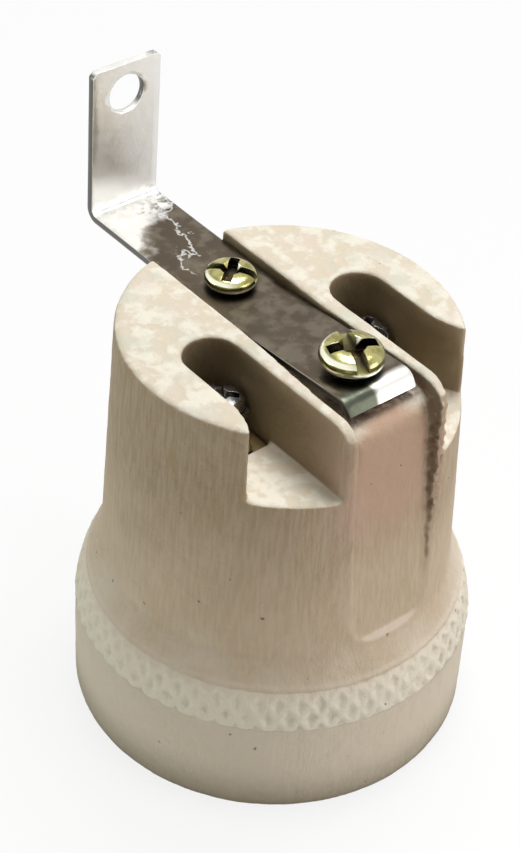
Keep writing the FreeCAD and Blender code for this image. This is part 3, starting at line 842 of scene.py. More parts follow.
def lathe(profile: list[tuple[float, float]], steps: int, twist: Callable | None = None) -> bpy.types.Mesh:
    """Turn a closed profile about the Z axis.

    Args:
        profile: Points of (radius, height) round the section, anticlockwise.
        steps: How many steps make the turn.
        twist: Changes (radius, height, share of a turn) to a new radius, or None.

    Returns:
        The closed mesh.
    """
    work = bmesh.new()
    rings = []
    for step in range(steps):
        angle = 2 * math.pi * step / steps
        ring = []
        for radius, height in profile:
            reach = twist(radius, height, step / steps) if twist else radius
            ring.append(work.verts.new((reach * math.cos(angle), reach * math.sin(angle), height)))
        rings.append(ring)
    count = len(profile)
    for step in range(steps):
        here, there = rings[step], rings[(step + 1) % steps]
        for index in range(count):
            following = (index + 1) % count
            work.faces.new((here[index], there[index], there[following], here[following]))
    bmesh.ops.remove_doubles(work, verts=work.verts, dist=MERGE)
    bmesh.ops.recalc_face_normals(work, faces=work.faces)
    mesh = bpy.data.meshes.new("turned")
    work.to_mesh(mesh)
    work.free()
    return mesh


def cut_away(piece: bpy.types.Object, cutters: list[bpy.types.Mesh]) -> None:
    """Cut closed shapes out of a piece.

    Args:
        piece: The piece.
        cutters: The shapes, which are removed afterwards.
    """
    for cutter in cutters:
        tool = new_piece("cutter", cutter)
        cut = piece.modifiers.new("cut", "BOOLEAN")
        cut.operation = "DIFFERENCE"
        cut.solver = "EXACT"
        cut.object = tool
        settle(piece)
        bpy.data.objects.remove(tool)
        bpy.data.meshes.remove(cutter)


def shade(piece: bpy.types.Object, angle: float = math.pi) -> None:
    """Shade a piece smooth, apart from edges sharper than an angle.

    Args:
        piece: The piece.
        angle: The sharpest smooth edge, in radians.
    """
    piece.data.shade_smooth()
    if angle < math.pi:
        piece.data.set_sharp_from_angle(angle=angle)


def dress(piece: bpy.types.Object, material: bpy.types.Material) -> None:
    """Give a piece one material all over.

    Args:
        piece: A new piece, or a solid carried over from the frame.
        material: The material.
    """
    if not piece.material_slots:
        piece.data.materials.append(material)
    for slot in piece.material_slots:
        slot.material = material


def place(piece: bpy.types.Object, body: Body, slot: Slot, *nodes: str) -> None:
    """Ride a piece on its body and hide the solids it stands for.

    Args:
        piece: The finished piece.
        body: The body that carries it.
        slot: Not used.
        *nodes: The solids it replaces.
    """
    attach(piece, body.value)
    if nodes:
        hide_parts(*nodes)
    LOG.info("%s: %d faces on %s", piece.name, len(piece.data.polygons), body.value)


def follow(path: list[tuple[float, float]], radii: list[float], step: float) -> list[Triple]:
    """Walk a bent path with rounded corners.

    Args:
        path: Its corner points as (x, z), both ends included.
        radii: The rounding at each inner corner.
        step: The longest stretch between stations.

    Returns:
        For each station x, z and the direction of travel in radians.
    """
    headings = [math.atan2(last[1] - first[1], last[0] - first[0]) for first, last in zip(path, path[1:])]
    backs = [radius * math.tan(abs(after - before) / 2)
             for radius, before, after in zip(radii, headings, headings[1:])]
    line = [(*path[0], headings[0])]
    for index, heading in enumerate(headings):
        way = (math.cos(heading), math.sin(heading))
        reach = math.dist(path[index], path[index + 1]) - (backs[index] if index < len(backs) else 0.0)
        x, z, _ = line[-1]
        run = reach - math.dist(path[index], (x, z))
        count = max(1, math.ceil(run / step))
        line += [(x + way[0] * run * part / count, z + way[1] * run * part / count, heading)
                 for part in range(1, count + 1)]
        if index == len(backs):
            break
        bend = headings[index + 1] - heading
        x, z, _ = line[-1]
        radius = math.copysign(radii[index], bend)
        count = max(4, math.ceil(abs(bend) / BEND_STEP))
        for part in range(1, count + 1):
            turned = heading + bend * part / count
            line.append((x + radius * (math.sin(turned) - math.sin(heading)),
                         z - radius * (math.cos(turned) - math.cos(heading)), turned))
    return line


class GeometrySketch(Sketch):
    """A geometry tree with named inputs, run once on a piece."""

    def __init__(self, name: str) -> None:
        """Start the tree.

        Args:
            name: The tree's name.
        """
        super().__init__(bpy.data.node_groups.new(name, "GeometryNodeTree"))
        self.tree.interface.new_socket("Geometry", in_out="OUTPUT", socket_type="NodeSocketGeometry")
        self.identifiers: dict[str, str] = {}

    def inputs(self, **sizes: float | int) -> dict[str, Wire]:
        """Args:
            **sizes: Each input's name and default.

        Returns:
            The wires to build from, by name.
        """
        for name, value in sizes.items():
            kind = "NodeSocketInt" if isinstance(value, int) else "NodeSocketFloat"
            socket = self.tree.interface.new_socket(name, in_out="INPUT", socket_type=kind)
            socket.default_value = value
            self.identifiers[name] = socket.identifier
        entry = self.add("NodeGroupInput")
        return {name: Wire(self, entry.outputs[name]) for name in sizes}

    def sheet(self, columns: Wire | int, rows: int, height: float = 1.0) -> tuple[Socket, Wire, Wire]:
        """Lay the flat grid that a turned shape is bent from.

        Args:
            columns: How many points it has across its width of 1.
            rows: How many points it has up its height.
            height: Its height.

        Returns:
            The grid, and each point's way across and up from its middle.
        """
        inputs = {"Size X": 1.0, "Size Y": height, "Vertices X": columns, "Vertices Y": rows}
        across, up, _ = self.parts(self.add("GeometryNodeInputPosition").outputs[0])
        return self.add("GeometryNodeMeshGrid", inputs).outputs["Mesh"], across, up

    def bent(self, sheet: Socket, where: Socket, gap: float) -> Socket:
        """Move a sheet's points and join those that end up closer than a gap."""
        moved = self.add("GeometryNodeSetPosition", {"Geometry": sheet, "Position": where}).outputs[0]
        return self.add("GeometryNodeMergeByDistance", {"Geometry": moved, "Distance": gap}).outputs[0]

    def moved(self, geometry: Socket, shift: Socket, turn: Socket | Triple = (0.0, 0.0, 0.0)) -> Socket:
        """Turn a shape, then shift it."""
        inputs = {"Geometry": geometry, "Translation": shift, "Rotation": turn}
        return self.add("GeometryNodeTransform", inputs).outputs[0]

    def finish(self, geometry: Socket, material: bpy.types.Material) -> None:
        """End the tree with real faces and their material.

        Args:
            geometry: The geometry to give out.
            material: Its material.
        """
        real = self.add("GeometryNodeRealizeInstances", {0: geometry}).outputs[0]
        dressed = self.add("GeometryNodeSetMaterial", {"Geometry": real, "Material": material}).outputs[0]
        self.add("NodeGroupOutput", {0: dressed})

    def grown(self, name: str, **sizes: float | int) -> bpy.types.Object:
        """Run the tree and keep its result as a plain mesh.

        Args:
            name: The piece's name.
            **sizes: Values for the named inputs.

        Returns:
            The piece, at the origin.
        """
        piece = new_piece(name, bpy.data.meshes.new(name))
        grow = piece.modifiers.new("grow", "NODES")
        grow.node_group = self.tree
        for key, value in sizes.items():
            grow[self.identifiers[key]] = value
        settle(piece)
        return piece


class Part:
    """A piece that is built in its own way, then shaded, dressed and put where its solid is."""

    finish: ClassVar[str]
    slot: ClassVar[Slot]
    node: ClassVar[str]
    smooth: ClassVar[float] = 180.0

    def build(self) -> bpy.types.Object:
        """Build the piece."""
        raise NotImplementedError

    def dressed(self, finishes: Finishes) -> bpy.types.Object:
        """Build, dress and place the piece.

        Args:
            finishes: The materials.

        Returns:
            The placed piece.
        """
        piece = self.build()
        shade(piece, math.radians(self.smooth))
        dress(piece, getattr(finishes, self.finish))
        place(piece, Body.ROOT, self.slot, self.node)
        return piece


# The porcelain

@dataclass
class PorcelainMoulding(Part):
    """The one-piece porcelain body, with eased edges, uneven faces and a crumbled groove edge."""

    finish, slot, node = "porcelain", Slot.PORCELAIN, "porcelain_body"
    voxel: float = 0.30 * MM
    quick_voxel: float = 0.45 * MM
    ease: int = 3
    face_limit: int = 190_000
    wave: float = 0.045 * MM
    wave_size: float = 3.2 * MM
    wave_seed: float = 3.1
    dimple: float = 0.025 * MM
    dimple_size: float = 0.9 * MM
    dimple_seed: float = 7.7
    crumb: float = 0.24 * MM
    crumb_size: float = 0.6 * MM
    crumb_seed: float = 1.3
    crumb_at: Triple = (16.9 * MM, 5.7 * MM, 39.0 * MM)
    crumb_reach: Triple = (2.2 * MM, 1.0 * MM, 9.0 * MM)
    crumb_least: float = 0.02
    belt_z: float = 14.4 * MM
    belt_half: float = 1.8 * MM
    belt_fade: float = 0.35 * MM
    belt_sunk: float = 0.24 * MM
    belt_inside: float = 18.6 * MM

    def build(self) -> bpy.types.Object:
        """Build the body from its solid.

        Returns:
            The piece.
        """
        piece = merged_copy("porcelain_body", "porcelain")
        remesh(piece, self.voxel, self.ease)
        self.roughen(piece.data)
        triangles = sum(len(face.vertices) - 2 for face in piece.data.polygons)
        if triangles > self.face_limit:
            thin = piece.modifiers.new("thin", "DECIMATE")
            thin.ratio = self.face_limit / triangles
            settle(piece)
        return piece

    def roughen(self, mesh: bpy.types.Mesh) -> None:
        """Press waves, dimples and crumbs into the surface.

        Args:
            mesh: The body's mesh.
        """
        points, normals = points_of(mesh), points_of(mesh, "normal")
        height = self.wave * lumps(points, self.wave_size, self.wave_seed)
        height += self.dimple * lumps(points, self.dimple_size, self.dimple_seed)
        x, y, z = points.T
        inside_belt = self.belt_half + self.belt_fade - np.abs(z - self.belt_z)
        trench = self.belt_sunk * np.clip(inside_belt / self.belt_fade, 0, 1)
        height -= np.where(np.hypot(x, y) > self.belt_inside, trench, 0)
        edge = np.ones(len(points))
        for values, middle, reach in zip(points.T, self.crumb_at, self.crumb_reach):
            edge *= bell(values, middle, reach)
        near = edge > self.crumb_least
        crumbs = lumps(points[near], self.crumb_size, self.crumb_seed)
        height[near] += edge[near] * self.crumb * 2 * crumbs
        write_points(mesh, points + normals * height[:, None])


@dataclass
class KnurlBelt:
    """The lattice of crossed ridges pressed into the shoulder for grip."""

    count: int = 62
    steps_per_ridge: int = 12
    rows: int = 44
    bottom: float = 11.9 * MM
    top: float = 16.9 * MM
    collar_radius: float = 21.75 * MM
    collar_height: float = 8.5 * MM
    kink_radius: float = 18.9 * MM
    shoulder_height: float = 11.4 * MM
    cells_high: float = 1.6
    unevenness: float = 0.10
    proud: float = 0.32 * MM
    sunk: float = 0.05 * MM
    root: float = 0.9 * MM
    back: float = 2.2 * MM
    merge: float = 0.005 * MM
    last_row: float = 0.4999
    rove_rise: float = 0.25
    sway_grain: Band = (9.0, 2.0)
    fill_grain: Band = (14.0, 2.0)
    fill_band: Band = (0.3, 0.7)
    fill: Band = (-0.05, 0.16)
    crest: Band = (0.12, 0.95)
    foot: Band = (0.12, 0.02)
    foot_share: float = 0.8
    fade: Band = (1.0, 0.66)

    def tree(self, material: bpy.types.Material) -> GeometrySketch:
        """Write the ridge rule as a geometry tree.

        Args:
            material: The belt's material.

        Returns:
            The tree.
        """
        step = self.collar_radius - self.kink_radius
        curve = (step ** 2 + self.shoulder_height ** 2) / (2 * step)
        pen = GeometrySketch("knurled_belt")
        size = pen.inputs(count=self.count, bottom=self.bottom, top=self.top, proud=self.proud,
                          sunk=self.sunk, root=self.root, cells_high=self.cells_high,
                          collar_radius=self.collar_radius, collar_height=self.collar_height,
                          curve_radius=curve)
        columns = size["count"] * float(self.steps_per_ridge) + 1.0
        sheet, across, up = pen.sheet(columns, self.rows)
        turn, rise = across + 0.5, up + 0.5
        level = size["bottom"] + (size["top"] - size["bottom"]) * rise
        drop = level - size["collar_height"]
        chord = pen.math("SQRT", size["curve_radius"] * size["curve_radius"] - drop * drop)
        shoulder = size["collar_radius"] - size["curve_radius"] + chord
        climb, lap = rise * size["cells_high"], turn * (2 * math.pi)
        rove = pen.vector(pen.math("COSINE", lap), pen.math("SINE", lap), rise * self.rove_rise)
        sway = pen.grain(rove, *self.sway_grain) - 0.5
        around = turn * size["count"] + sway * (self.unevenness * 4)
        ridges = pen.larger(self.ridge(around + climb), self.ridge(around - climb))
        fill = pen.span(pen.grain(rove, *self.fill_grain), *self.fill_band, *self.fill)
        lattice = pen.span(ridges + fill, *self.crest)
        lattice = pen.larger(lattice, pen.span(rise, *self.foot, 0.0, self.foot_share))
        lattice = lattice * pen.span(rise, *self.fade)
        ends = pen.math("GREATER_THAN", abs(up), self.last_row)
        radius = shoulder + (lattice * size["proud"] - size["sunk"]) - ends * size["root"]
        level = self.choose(ends, level, (size["bottom"] + size["top"]) * 0.5)
        radius = self.choose(ends, radius, size["collar_radius"] - self.back)
        closed = pen.bent(sheet, pen.polar(radius, lap, level), self.merge)
        pen.finish(pen.add("GeometryNodeSetShadeSmooth", {0: closed}).outputs[0], material)
        return pen

    @staticmethod
    def ridge(phase: Wire) -> Wire:
        """Rise to 1 on each ridge that a phase counts, and fall to 0 half-way between two."""
        return abs(phase.sketch.math("FRACT", phase) * 2.0 - 1.0)

    @staticmethod
    def choose(pick: Wire, first: Wire, second: Wire) -> Wire:
        """Take the first value where the pick is 0 and the second where it is 1."""
        return first + pick * (second - first)

    def dressed(self, finishes: Finishes) -> bpy.types.Object:
        """Build, dress and place the belt.

        Args:
            finishes: The materials.

        Returns:
            The placed piece.
        """
        piece = self.tree(finishes.belt).grown("knurl_belt", count=self.count)
        write_points(piece.data, points_of(piece.data))
        place(piece, Body.ROOT, Slot.PORCELAIN)
        return piece


# The strap

@dataclass
class MountingStrap(Part):
    """Sheared steel strip: upright tab with a hole, run that springs up at its end, and a lip."""

    finish, slot, node, smooth = "strap", Slot.STRAP, "mounting_bracket", 50.0
    width: float = 8.6 * MM
    thickness: float = 0.8 * MM
    bend_radius: float = 0.7 * MM
    tab_height: float = 17.2 * MM
    tab_corner: float = 0.45 * MM
    tab_hole_height: float = 13.6 * MM
    tab_hole_radius: float = 2.15 * MM
    tab_lean: float = 1.4
    rise_start: float = -6.2 * MM
    rise: float = 1.6 * MM
    lip_start: float = 12.9 * MM
    lip_length: float = 1.5 * MM
    lip_angle: float = 52.0
    spring_radius: float = 25.0 * MM
    station: float = 0.5 * MM
    edge: float = 0.10 * MM
    break_edge: float = 0.10 * MM
    cutter_half: float = 1.0 * MM
    cutter_flare: float = 0.6 * MM
    hole_steps: int = 64
    ripple: float = 0.018 * MM
    ripple_size: float = 6 * MM
    ripple_seed: float = 5.5
    flat_steps: int = 12
    screws: tuple[tuple[float, float], ...] = ((9.1 * MM, 2.0 * MM), (-9.65 * MM, 1.75 * MM))

    def centre_line(self) -> list[Triple]:
        """Stations along the strip.

        Returns:
            For each station x, z and the direction of travel in radians, from tab top to lip end.
        """
        low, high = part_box("mounting_bracket")
        half = self.thickness / 2
        tab_x = low.x + half
        level = high.z - self.tab_height - half
        droop = math.radians(self.lip_angle)
        lip = (self.lip_start, level + self.rise)
        end = (lip[0] + self.lip_length * math.cos(droop), lip[1] - self.lip_length * math.sin(droop))
        path = [(tab_x, high.z), (tab_x, level), (self.rise_start, level), lip, end]
        sharp = self.bend_radius + half
        return follow(path, [sharp, self.spring_radius, sharp], self.station)

    def section(self, half_width: float) -> list[tuple[float, float]]:
        """The strip's cross-section, with its sheared corners broken.

        Args:
            half_width: Half the strip's width there.

        Returns:
            Points of (across, up from the centre line), anticlockwise seen along the strip.
        """
        half, edge = self.thickness / 2, self.edge
        corners = []
        for side, up, start in ((1, 1, 0), (-1, 1, 90), (-1, -1, 180), (1, -1, 270)):
            centre = (side * (half_width - edge), up * (half - edge))
            for turn in (0, 45, 90):
                angle = math.radians(start + turn)
                corners.append((centre[0] + edge * math.cos(angle), centre[1] + edge * math.sin(angle)))
        spread = []
        for first, last in zip(corners, corners[1:] + corners[:1]):
            pieces = self.flat_steps if math.dist(first, last) > self.thickness else 1
            for index in range(pieces):
                share = index / pieces
                spread.append(tuple(start + (end - start) * share for start, end in zip(first, last)))
        return spread

    def build(self) -> bpy.types.Object:
        """Build the strip with its three holes.

        Returns:
            The piece.
        """
        line = self.centre_line()
        top = line[0][1]
        work = bmesh.new()
        rings = []
        for x, z, heading in line:
            from_top = top - z if heading == -math.pi / 2 else self.tab_corner
            short = max(0.0, self.tab_corner - from_top)
            inset = self.tab_corner - math.sqrt(self.tab_corner ** 2 - short ** 2)
            ring = []
            for across, up in self.section(self.width / 2 - inset):
                ring.append(work.verts.new((x - up * math.sin(heading), across, z + up * math.cos(heading))))
            rings.append(ring)
        for here, there in zip(rings, rings[1:]):
            for index in range(len(here)):
                following = (index + 1) % len(here)
                work.faces.new((here[index], here[following], there[following], there[index]))
        for end in (rings[0], rings[-1]):
            work.faces.new(end)
        bmesh.ops.recalc_face_normals(work, faces=work.faces)
        mesh = bpy.data.meshes.new("strap")
        work.to_mesh(mesh)
        work.free()
        piece = new_piece("mounting_strap", mesh)
        self.ripple_and_lean(piece.data)
        cut_away(piece, self.hole_cutters())
        return piece

    def ripple_and_lean(self, mesh: bpy.types.Mesh) -> None:
        """Lean the tab inwards a little and make the rolled faces slightly uneven.

        Args:
            mesh: The strip's mesh.
        """
        low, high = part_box("mounting_bracket")
        points, normals = points_of(mesh), points_of(mesh, "normal")
        points += normals * (self.ripple * lumps(points, self.ripple_size, self.ripple_seed))[:, None]
        foot = high.z - self.tab_height
        rise = np.clip(points[:, 2] - foot, 0, None)
        on_tab = points[:, 0] < low.x + 2 * self.thickness
        points[:, 0] += np.where(on_tab, rise * math.tan(math.radians(self.tab_lean)), 0)
        write_points(mesh, points)

    def hole_cutters(self) -> list[bpy.types.Mesh]:
        """Spool-shaped cutters that leave each hole a broken edge.

        Returns:
            The cutters, in place.
        """
        low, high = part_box("mounting_bracket")
        half = self.thickness / 2
        foot = high.z - self.tab_height
        tab_middle = low.x + half + self.tab_hole_height * math.tan(math.radians(self.tab_lean))
        slope = self.rise / (self.lip_start - self.rise_start)
        tab_hole = self.hole_cutter(self.tab_hole_radius)
        tab_hole.transform(Matrix.Rotation(math.pi / 2, 4, "Y"))
        tab_hole.transform(Matrix.Translation((tab_middle, 0, foot + self.tab_hole_height)))
        cutters = [tab_hole]
        for x, radius in self.screws:
            cutter = self.hole_cutter(radius)
            level = foot - half + max(0.0, x - self.rise_start) * slope
            cutter.transform(Matrix.Translation((x, 0, level)))
            cutters.append(cutter)
        return cutters

    def hole_cutter(self, radius: float) -> bpy.types.Mesh:
        """Turn one upright cutter about the origin.

        Args:
            radius: The hole's radius.

        Returns:
            The cutter, which flares past both faces of the strip.
        """
        half, broken, reach = self.thickness / 2, self.break_edge, self.cutter_half
        lower = [(0, -reach), (radius + broken + self.cutter_flare, -reach), (radius + broken, -half),
                 (radius, broken - half)]
        upper = [(across, -up) for across, up in reversed(lower)]
        return lathe(lower + upper, self.hole_steps)


# Screws

@dataclass
class PanScrew:
    """A pan-head screw with a slot that cuts its rim and a deeper cross in its middle."""

    name: str
    node: str
    body: Body
    slot: Slot
    head_radius: float
    head_height: float
    shank_radius: float
    slot_width: float
    angle: float
    lift: float = 0.28 * MM
    waist: float = 0.40
    skin: float = 0.12 * MM
    recess_reach: float = 0.93
    recess_floor: float = 0.6
    side_power: float = 0.5
    crown_power: float = 0.85
    under_power: float = 0.75
    merge: float = 0.004 * MM
    slot_length: float = 2.4
    slot_floor: float = 0.46
    cross_length: float = 1.55
    cross_floor: float = 0.34
    cone_top: float = 1.25
    cone_tip: float = 0.3
    cone_depth: float = 0.85
    cone_rise: float = 0.30
    columns: int = 73
    rows: int = 49
    shank_steps: int = 40
    cone_steps: int = 24
    smooth: float = 35.0

    @classmethod
    def tree(cls, material: bpy.types.Material) -> GeometrySketch:
        """Write the head, shank and recess as a geometry tree.

        Args:
            material: The screw's material.

        Returns:
            The tree.
        """
        pen = GeometrySketch("pan_screw_" + material.name)
        size = pen.inputs(head_radius=0.003, head_height=0.002, shank_radius=0.0015, slot_width=0.001,
                          angle=0.0, x=0.0, y=0.0, seat=0.0, tip=0.0, lift=0.0)
        sheet, turn, climb = pen.sheet(cls.columns, cls.rows, 2.0)
        tilt = climb * (math.pi / 2)
        rise = pen.math("SINE", tilt)
        radius = size["head_radius"] * pen.math("COSINE", tilt) ** cls.side_power
        above = pen.larger(rise, 0.0) ** cls.crown_power
        below = pen.larger(rise * -1.0, 0.0) ** cls.under_power
        waist = size["head_height"] * cls.waist
        height = above * (size["head_height"] - waist) - below * waist + waist
        dome = pen.bent(sheet, pen.polar(radius, turn * (2 * math.pi), height), cls.merge)
        head = pen.add("GeometryNodeMeshBoolean", operation="DIFFERENCE", solver="EXACT")
        pen.feed(head.inputs["Mesh 1"], dome)
        pen.feed(head.inputs["Mesh 2"], cls.recess(pen, size))
        length = (size["seat"] - size["tip"]) + (size["lift"] + waist)
        inputs = {"Vertices": cls.shank_steps, "Radius": size["shank_radius"], "Depth": length}
        rod = pen.add("GeometryNodeMeshCylinder", inputs).outputs["Mesh"]
        shank = pen.moved(rod, pen.vector(0.0, 0.0, waist - length * 0.5))
        whole = pen.add("GeometryNodeJoinGeometry")
        for part in (head.outputs["Mesh"], shank):
            pen.feed(whole.inputs[0], part)
        seat = pen.vector(size["x"], size["y"], size["seat"] + size["lift"])
        pen.finish(pen.moved(whole.outputs[0], seat, pen.vector(0.0, 0.0, size["angle"])), material)
        return pen

    @classmethod
    def recess(cls, pen: GeometrySketch, size: dict[str, Wire]) -> Socket:
        """Join the cutter: a slot across the head, a cross bar and a cone at their middle.

        Args:
            pen: The tree.
            size: The tree's inputs.

        Returns:
            The joined cutter.
        """
        wide, tall = size["slot_width"], size["head_height"]
        bars = []
        for length, floor, turned in ((cls.slot_length, cls.slot_floor, 0.0),
                                      (cls.cross_length, cls.cross_floor, math.pi / 2)):
            box = pen.vector(size["head_radius"] * length, wide, tall * (2 * (1 - floor)))
            bar = pen.add("GeometryNodeMeshCube", {"Size": box}).outputs["Mesh"]
            bars.append(pen.moved(bar, pen.vector(0.0, 0.0, tall), (0.0, 0.0, turned)))
        inputs = {"Vertices": cls.cone_steps, "Radius Top": wide * cls.cone_top,
                  "Radius Bottom": wide * cls.cone_tip, "Depth": tall * cls.cone_depth}
        cone = pen.add("GeometryNodeMeshCone", inputs).outputs["Mesh"]
        bars.append(pen.moved(cone, pen.vector(0.0, 0.0, tall * cls.cone_rise)))
        union = pen.add("GeometryNodeMeshBoolean", operation="UNION", solver="EXACT")
        for bar in bars:
            pen.feed(union.inputs["Mesh 2"], bar)
        return union.outputs["Mesh"]

    def dressed(self, tree: GeometrySketch) -> bpy.types.Object:
        """Grow, dress and place the screw where its solid is.

        Args:
            tree: The shared screw tree.

        Returns:
            The placed piece.
        """
        low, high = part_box(self.node)
        x, y = (low.x + high.x) / 2, (low.y + high.y) / 2
        seat = high.z - self.head_height
        piece = tree.grown(self.name, head_radius=self.head_radius, head_height=self.head_height - self.lift,
                           shank_radius=self.shank_radius, slot_width=self.slot_width,
                           angle=math.radians(self.angle), x=x, y=y, seat=seat, tip=low.z, lift=self.lift)
        self.mark_recess(piece, seat + self.lift, x, y)
        shade(piece, math.radians(self.smooth))
        place(piece, self.body, self.slot, self.node)
        return piece

    def mark_recess(self, piece: bpy.types.Object, seat: float, x: float, y: float) -> None:
        """Write onto each point whether it lies down inside the slot, where the finish paints shade.

        Args:
            piece: The screw, in place.
            seat: Height of the head's underside.
            x: Where the screw's axis is along X.
            y: Where it is along Y.
        """
        points = points_of(piece.data)
        across = np.hypot(points[:, 0] - x, points[:, 1] - y) / self.head_radius
        height = self.head_height - self.lift
        climb = np.arccos(np.clip(across, 0, 1) ** 2)
        dome = seat + height * (self.waist + (1 - self.waist) * np.sin(climb) ** self.crown_power)
        floor = seat + height * self.waist * self.recess_floor
        inside = (points[:, 2] < dome - self.skin) & (points[:, 2] > floor)
        inside &= across < self.recess_reach
        mark = piece.data.attributes.new(RECESS, "FLOAT", "POINT")
        mark.data.foreach_set("value", inside.astype(np.float32))


# Inside the mouth

@dataclass
class ThreadedShell(Part):
    """The rolled sleeve that takes the lamp cap, with its real helical thread."""

    finish, slot, node, smooth = "shell", Slot.SHELL, "screw_shell", 60.0
    major: float = 13.3 * MM
    minor: float = 12.25 * MM
    sheet: float = 0.35 * MM
    pitch: float = 3.62 * MM
    flange_inner: float = 11.2 * MM
    flare: float = 0.5 * MM
    steepness: float = 2.2
    run_in: float = 0.4
    flare_run: float = 0.25
    live_gap: float = 4.0 * MM
    gap_shift: float = 0.6 * MM
    gap_half: float = 1.0 * MM
    gap_steps: int = 48
    rings: int = 120
    steps: int = 128

    def radius(self, level: float, turn: float, bottom: float, top: float) -> float:
        """Inside radius of the wall.

        Args:
            level: Height.
            turn: Share of a turn about the axis.
            bottom: The wall's lower end.
            top: The wall's upper end.

        Returns:
            The radius, on the thread between its run-in and run-out.
        """
        crest = math.tanh(self.steepness * math.cos(2 * math.pi * (level / self.pitch - turn)))
        wave = 0.5 + 0.5 * crest / math.tanh(self.steepness)
        run = self.run_in * self.pitch
        ends = min(1.0, max(0.0, (level - bottom) / run), max(0.0, (top - level) / run))
        lip = self.flare * max(0.0, 1 - (level - bottom) / (self.flare_run * self.pitch))
        return self.major - (self.major - self.minor) * wave * ends + lip

    def build(self) -> bpy.types.Object:
        """Build the sleeve, its flange and the gap round the live rivet.

        Returns:
            The piece.
        """
        low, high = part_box("screw_shell")
        bottom, top = low.z, high.z
        levels = np.linspace(bottom, top - self.sheet, self.rings)
        inside = [(0.0, level) for level in levels]
        outside = [(self.sheet, level) for level in reversed(levels)]
        profile = inside + [(None, top - self.sheet), (None, top)] + [(self.sheet, top)] + outside[1:]

        def wall(offset: float | None, level: float, turn: float) -> float:
            """Find a profile point's radius.

            Args:
                offset: How far it is outside the thread, or None on the flange's inner edge.
                level: Its height.
                turn: Share of a turn about the axis.

            Returns:
                The radius.
            """
            if offset is None:
                return self.flange_inner
            return self.radius(min(level, top - self.sheet), turn, bottom, top - self.sheet) + offset

        piece = new_piece("threaded_shell", lathe(profile, self.steps, wall))
        half = self.gap_half
        gap = lathe([(0, -half), (self.live_gap, -half), (self.live_gap, half), (0, half)],
                    self.gap_steps)
        gap.transform(Matrix.Translation((LIVE_RIVET[0], LIVE_RIVET[1] - self.gap_shift, top)))
        cut_away(piece, [gap])
        return piece


@dataclass
class ContactLeaf:
    """The bronze strip that carries the centre contact and bends when a lamp goes in."""

    voxel: float = 0.11 * MM
    bend_start: float = 2.4 * MM
    bend_end: float = 9.5 * MM
    level: float = 32.8 * MM

    def dressed(self, finishes: Finishes) -> bpy.types.Object:
        """Build and dress the leaf and hide its solid; it is not bent or carried on a body.

        Args:
            finishes: The materials.

        Returns:
            The placed piece.
        """
        piece = merged_copy("contact_leaf", "contact_leaf_spring")
        remesh(piece, self.voxel, 1)
        shade(piece)
        dress(piece, finishes.bronze)
        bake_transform(piece)
        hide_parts("contact_leaf")
        LOG.info("%s: %d faces, bends to %s", piece.name, len(piece.data.polygons), Body.CONTACT.value)
        return piece


@dataclass
class CarriedOver:
    """Solids that show as they are, with a finish of their own."""

    def dressed(self, finishes: Finishes) -> None:
        """Dress the solids.

        Args:
            finishes: The materials.
        """
        chosen = {"bracket_nut_front": finishes.screw, "bracket_nut_rear": finishes.screw,
                  "contact_button": finishes.bronze}
        for side in Side:
            chosen[f"{side.value}_terminal_plate"] = finishes.brass
            chosen[f"{side.value}_rivet"] = finishes.brass
            chosen[f"{side.value}_clamp_washer"] = finishes.terminal_steel
        for node, material in chosen.items():
            dress(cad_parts[node], material)
            LOG.info("%s: carried over with %s", node, material.name)


# Studio

@dataclass(frozen=True)
class Lamp:
    """One soft rectangular lamp aimed at the object."""

    name: str
    place: Triple
    width: float
    watts: float
    colour: Triple = (1.0, 1.0, 1.0)

    def make(self, target: Vector) -> None:
        """Hang the lamp.

        Args:
            target: What it points at.
        """
        data = bpy.data.lights.new(self.name, "AREA")
        data.shape = "SQUARE"
        data.size = self.width
        data.energy = self.watts
        data.color = self.colour
        lamp = bpy.data.objects.new(self.name, data)
        lamp.location = self.place
        lamp.rotation_euler = (target - Vector(self.place)).to_track_quat("-Z", "Y").to_euler()
        bpy.context.scene.collection.objects.link(lamp)


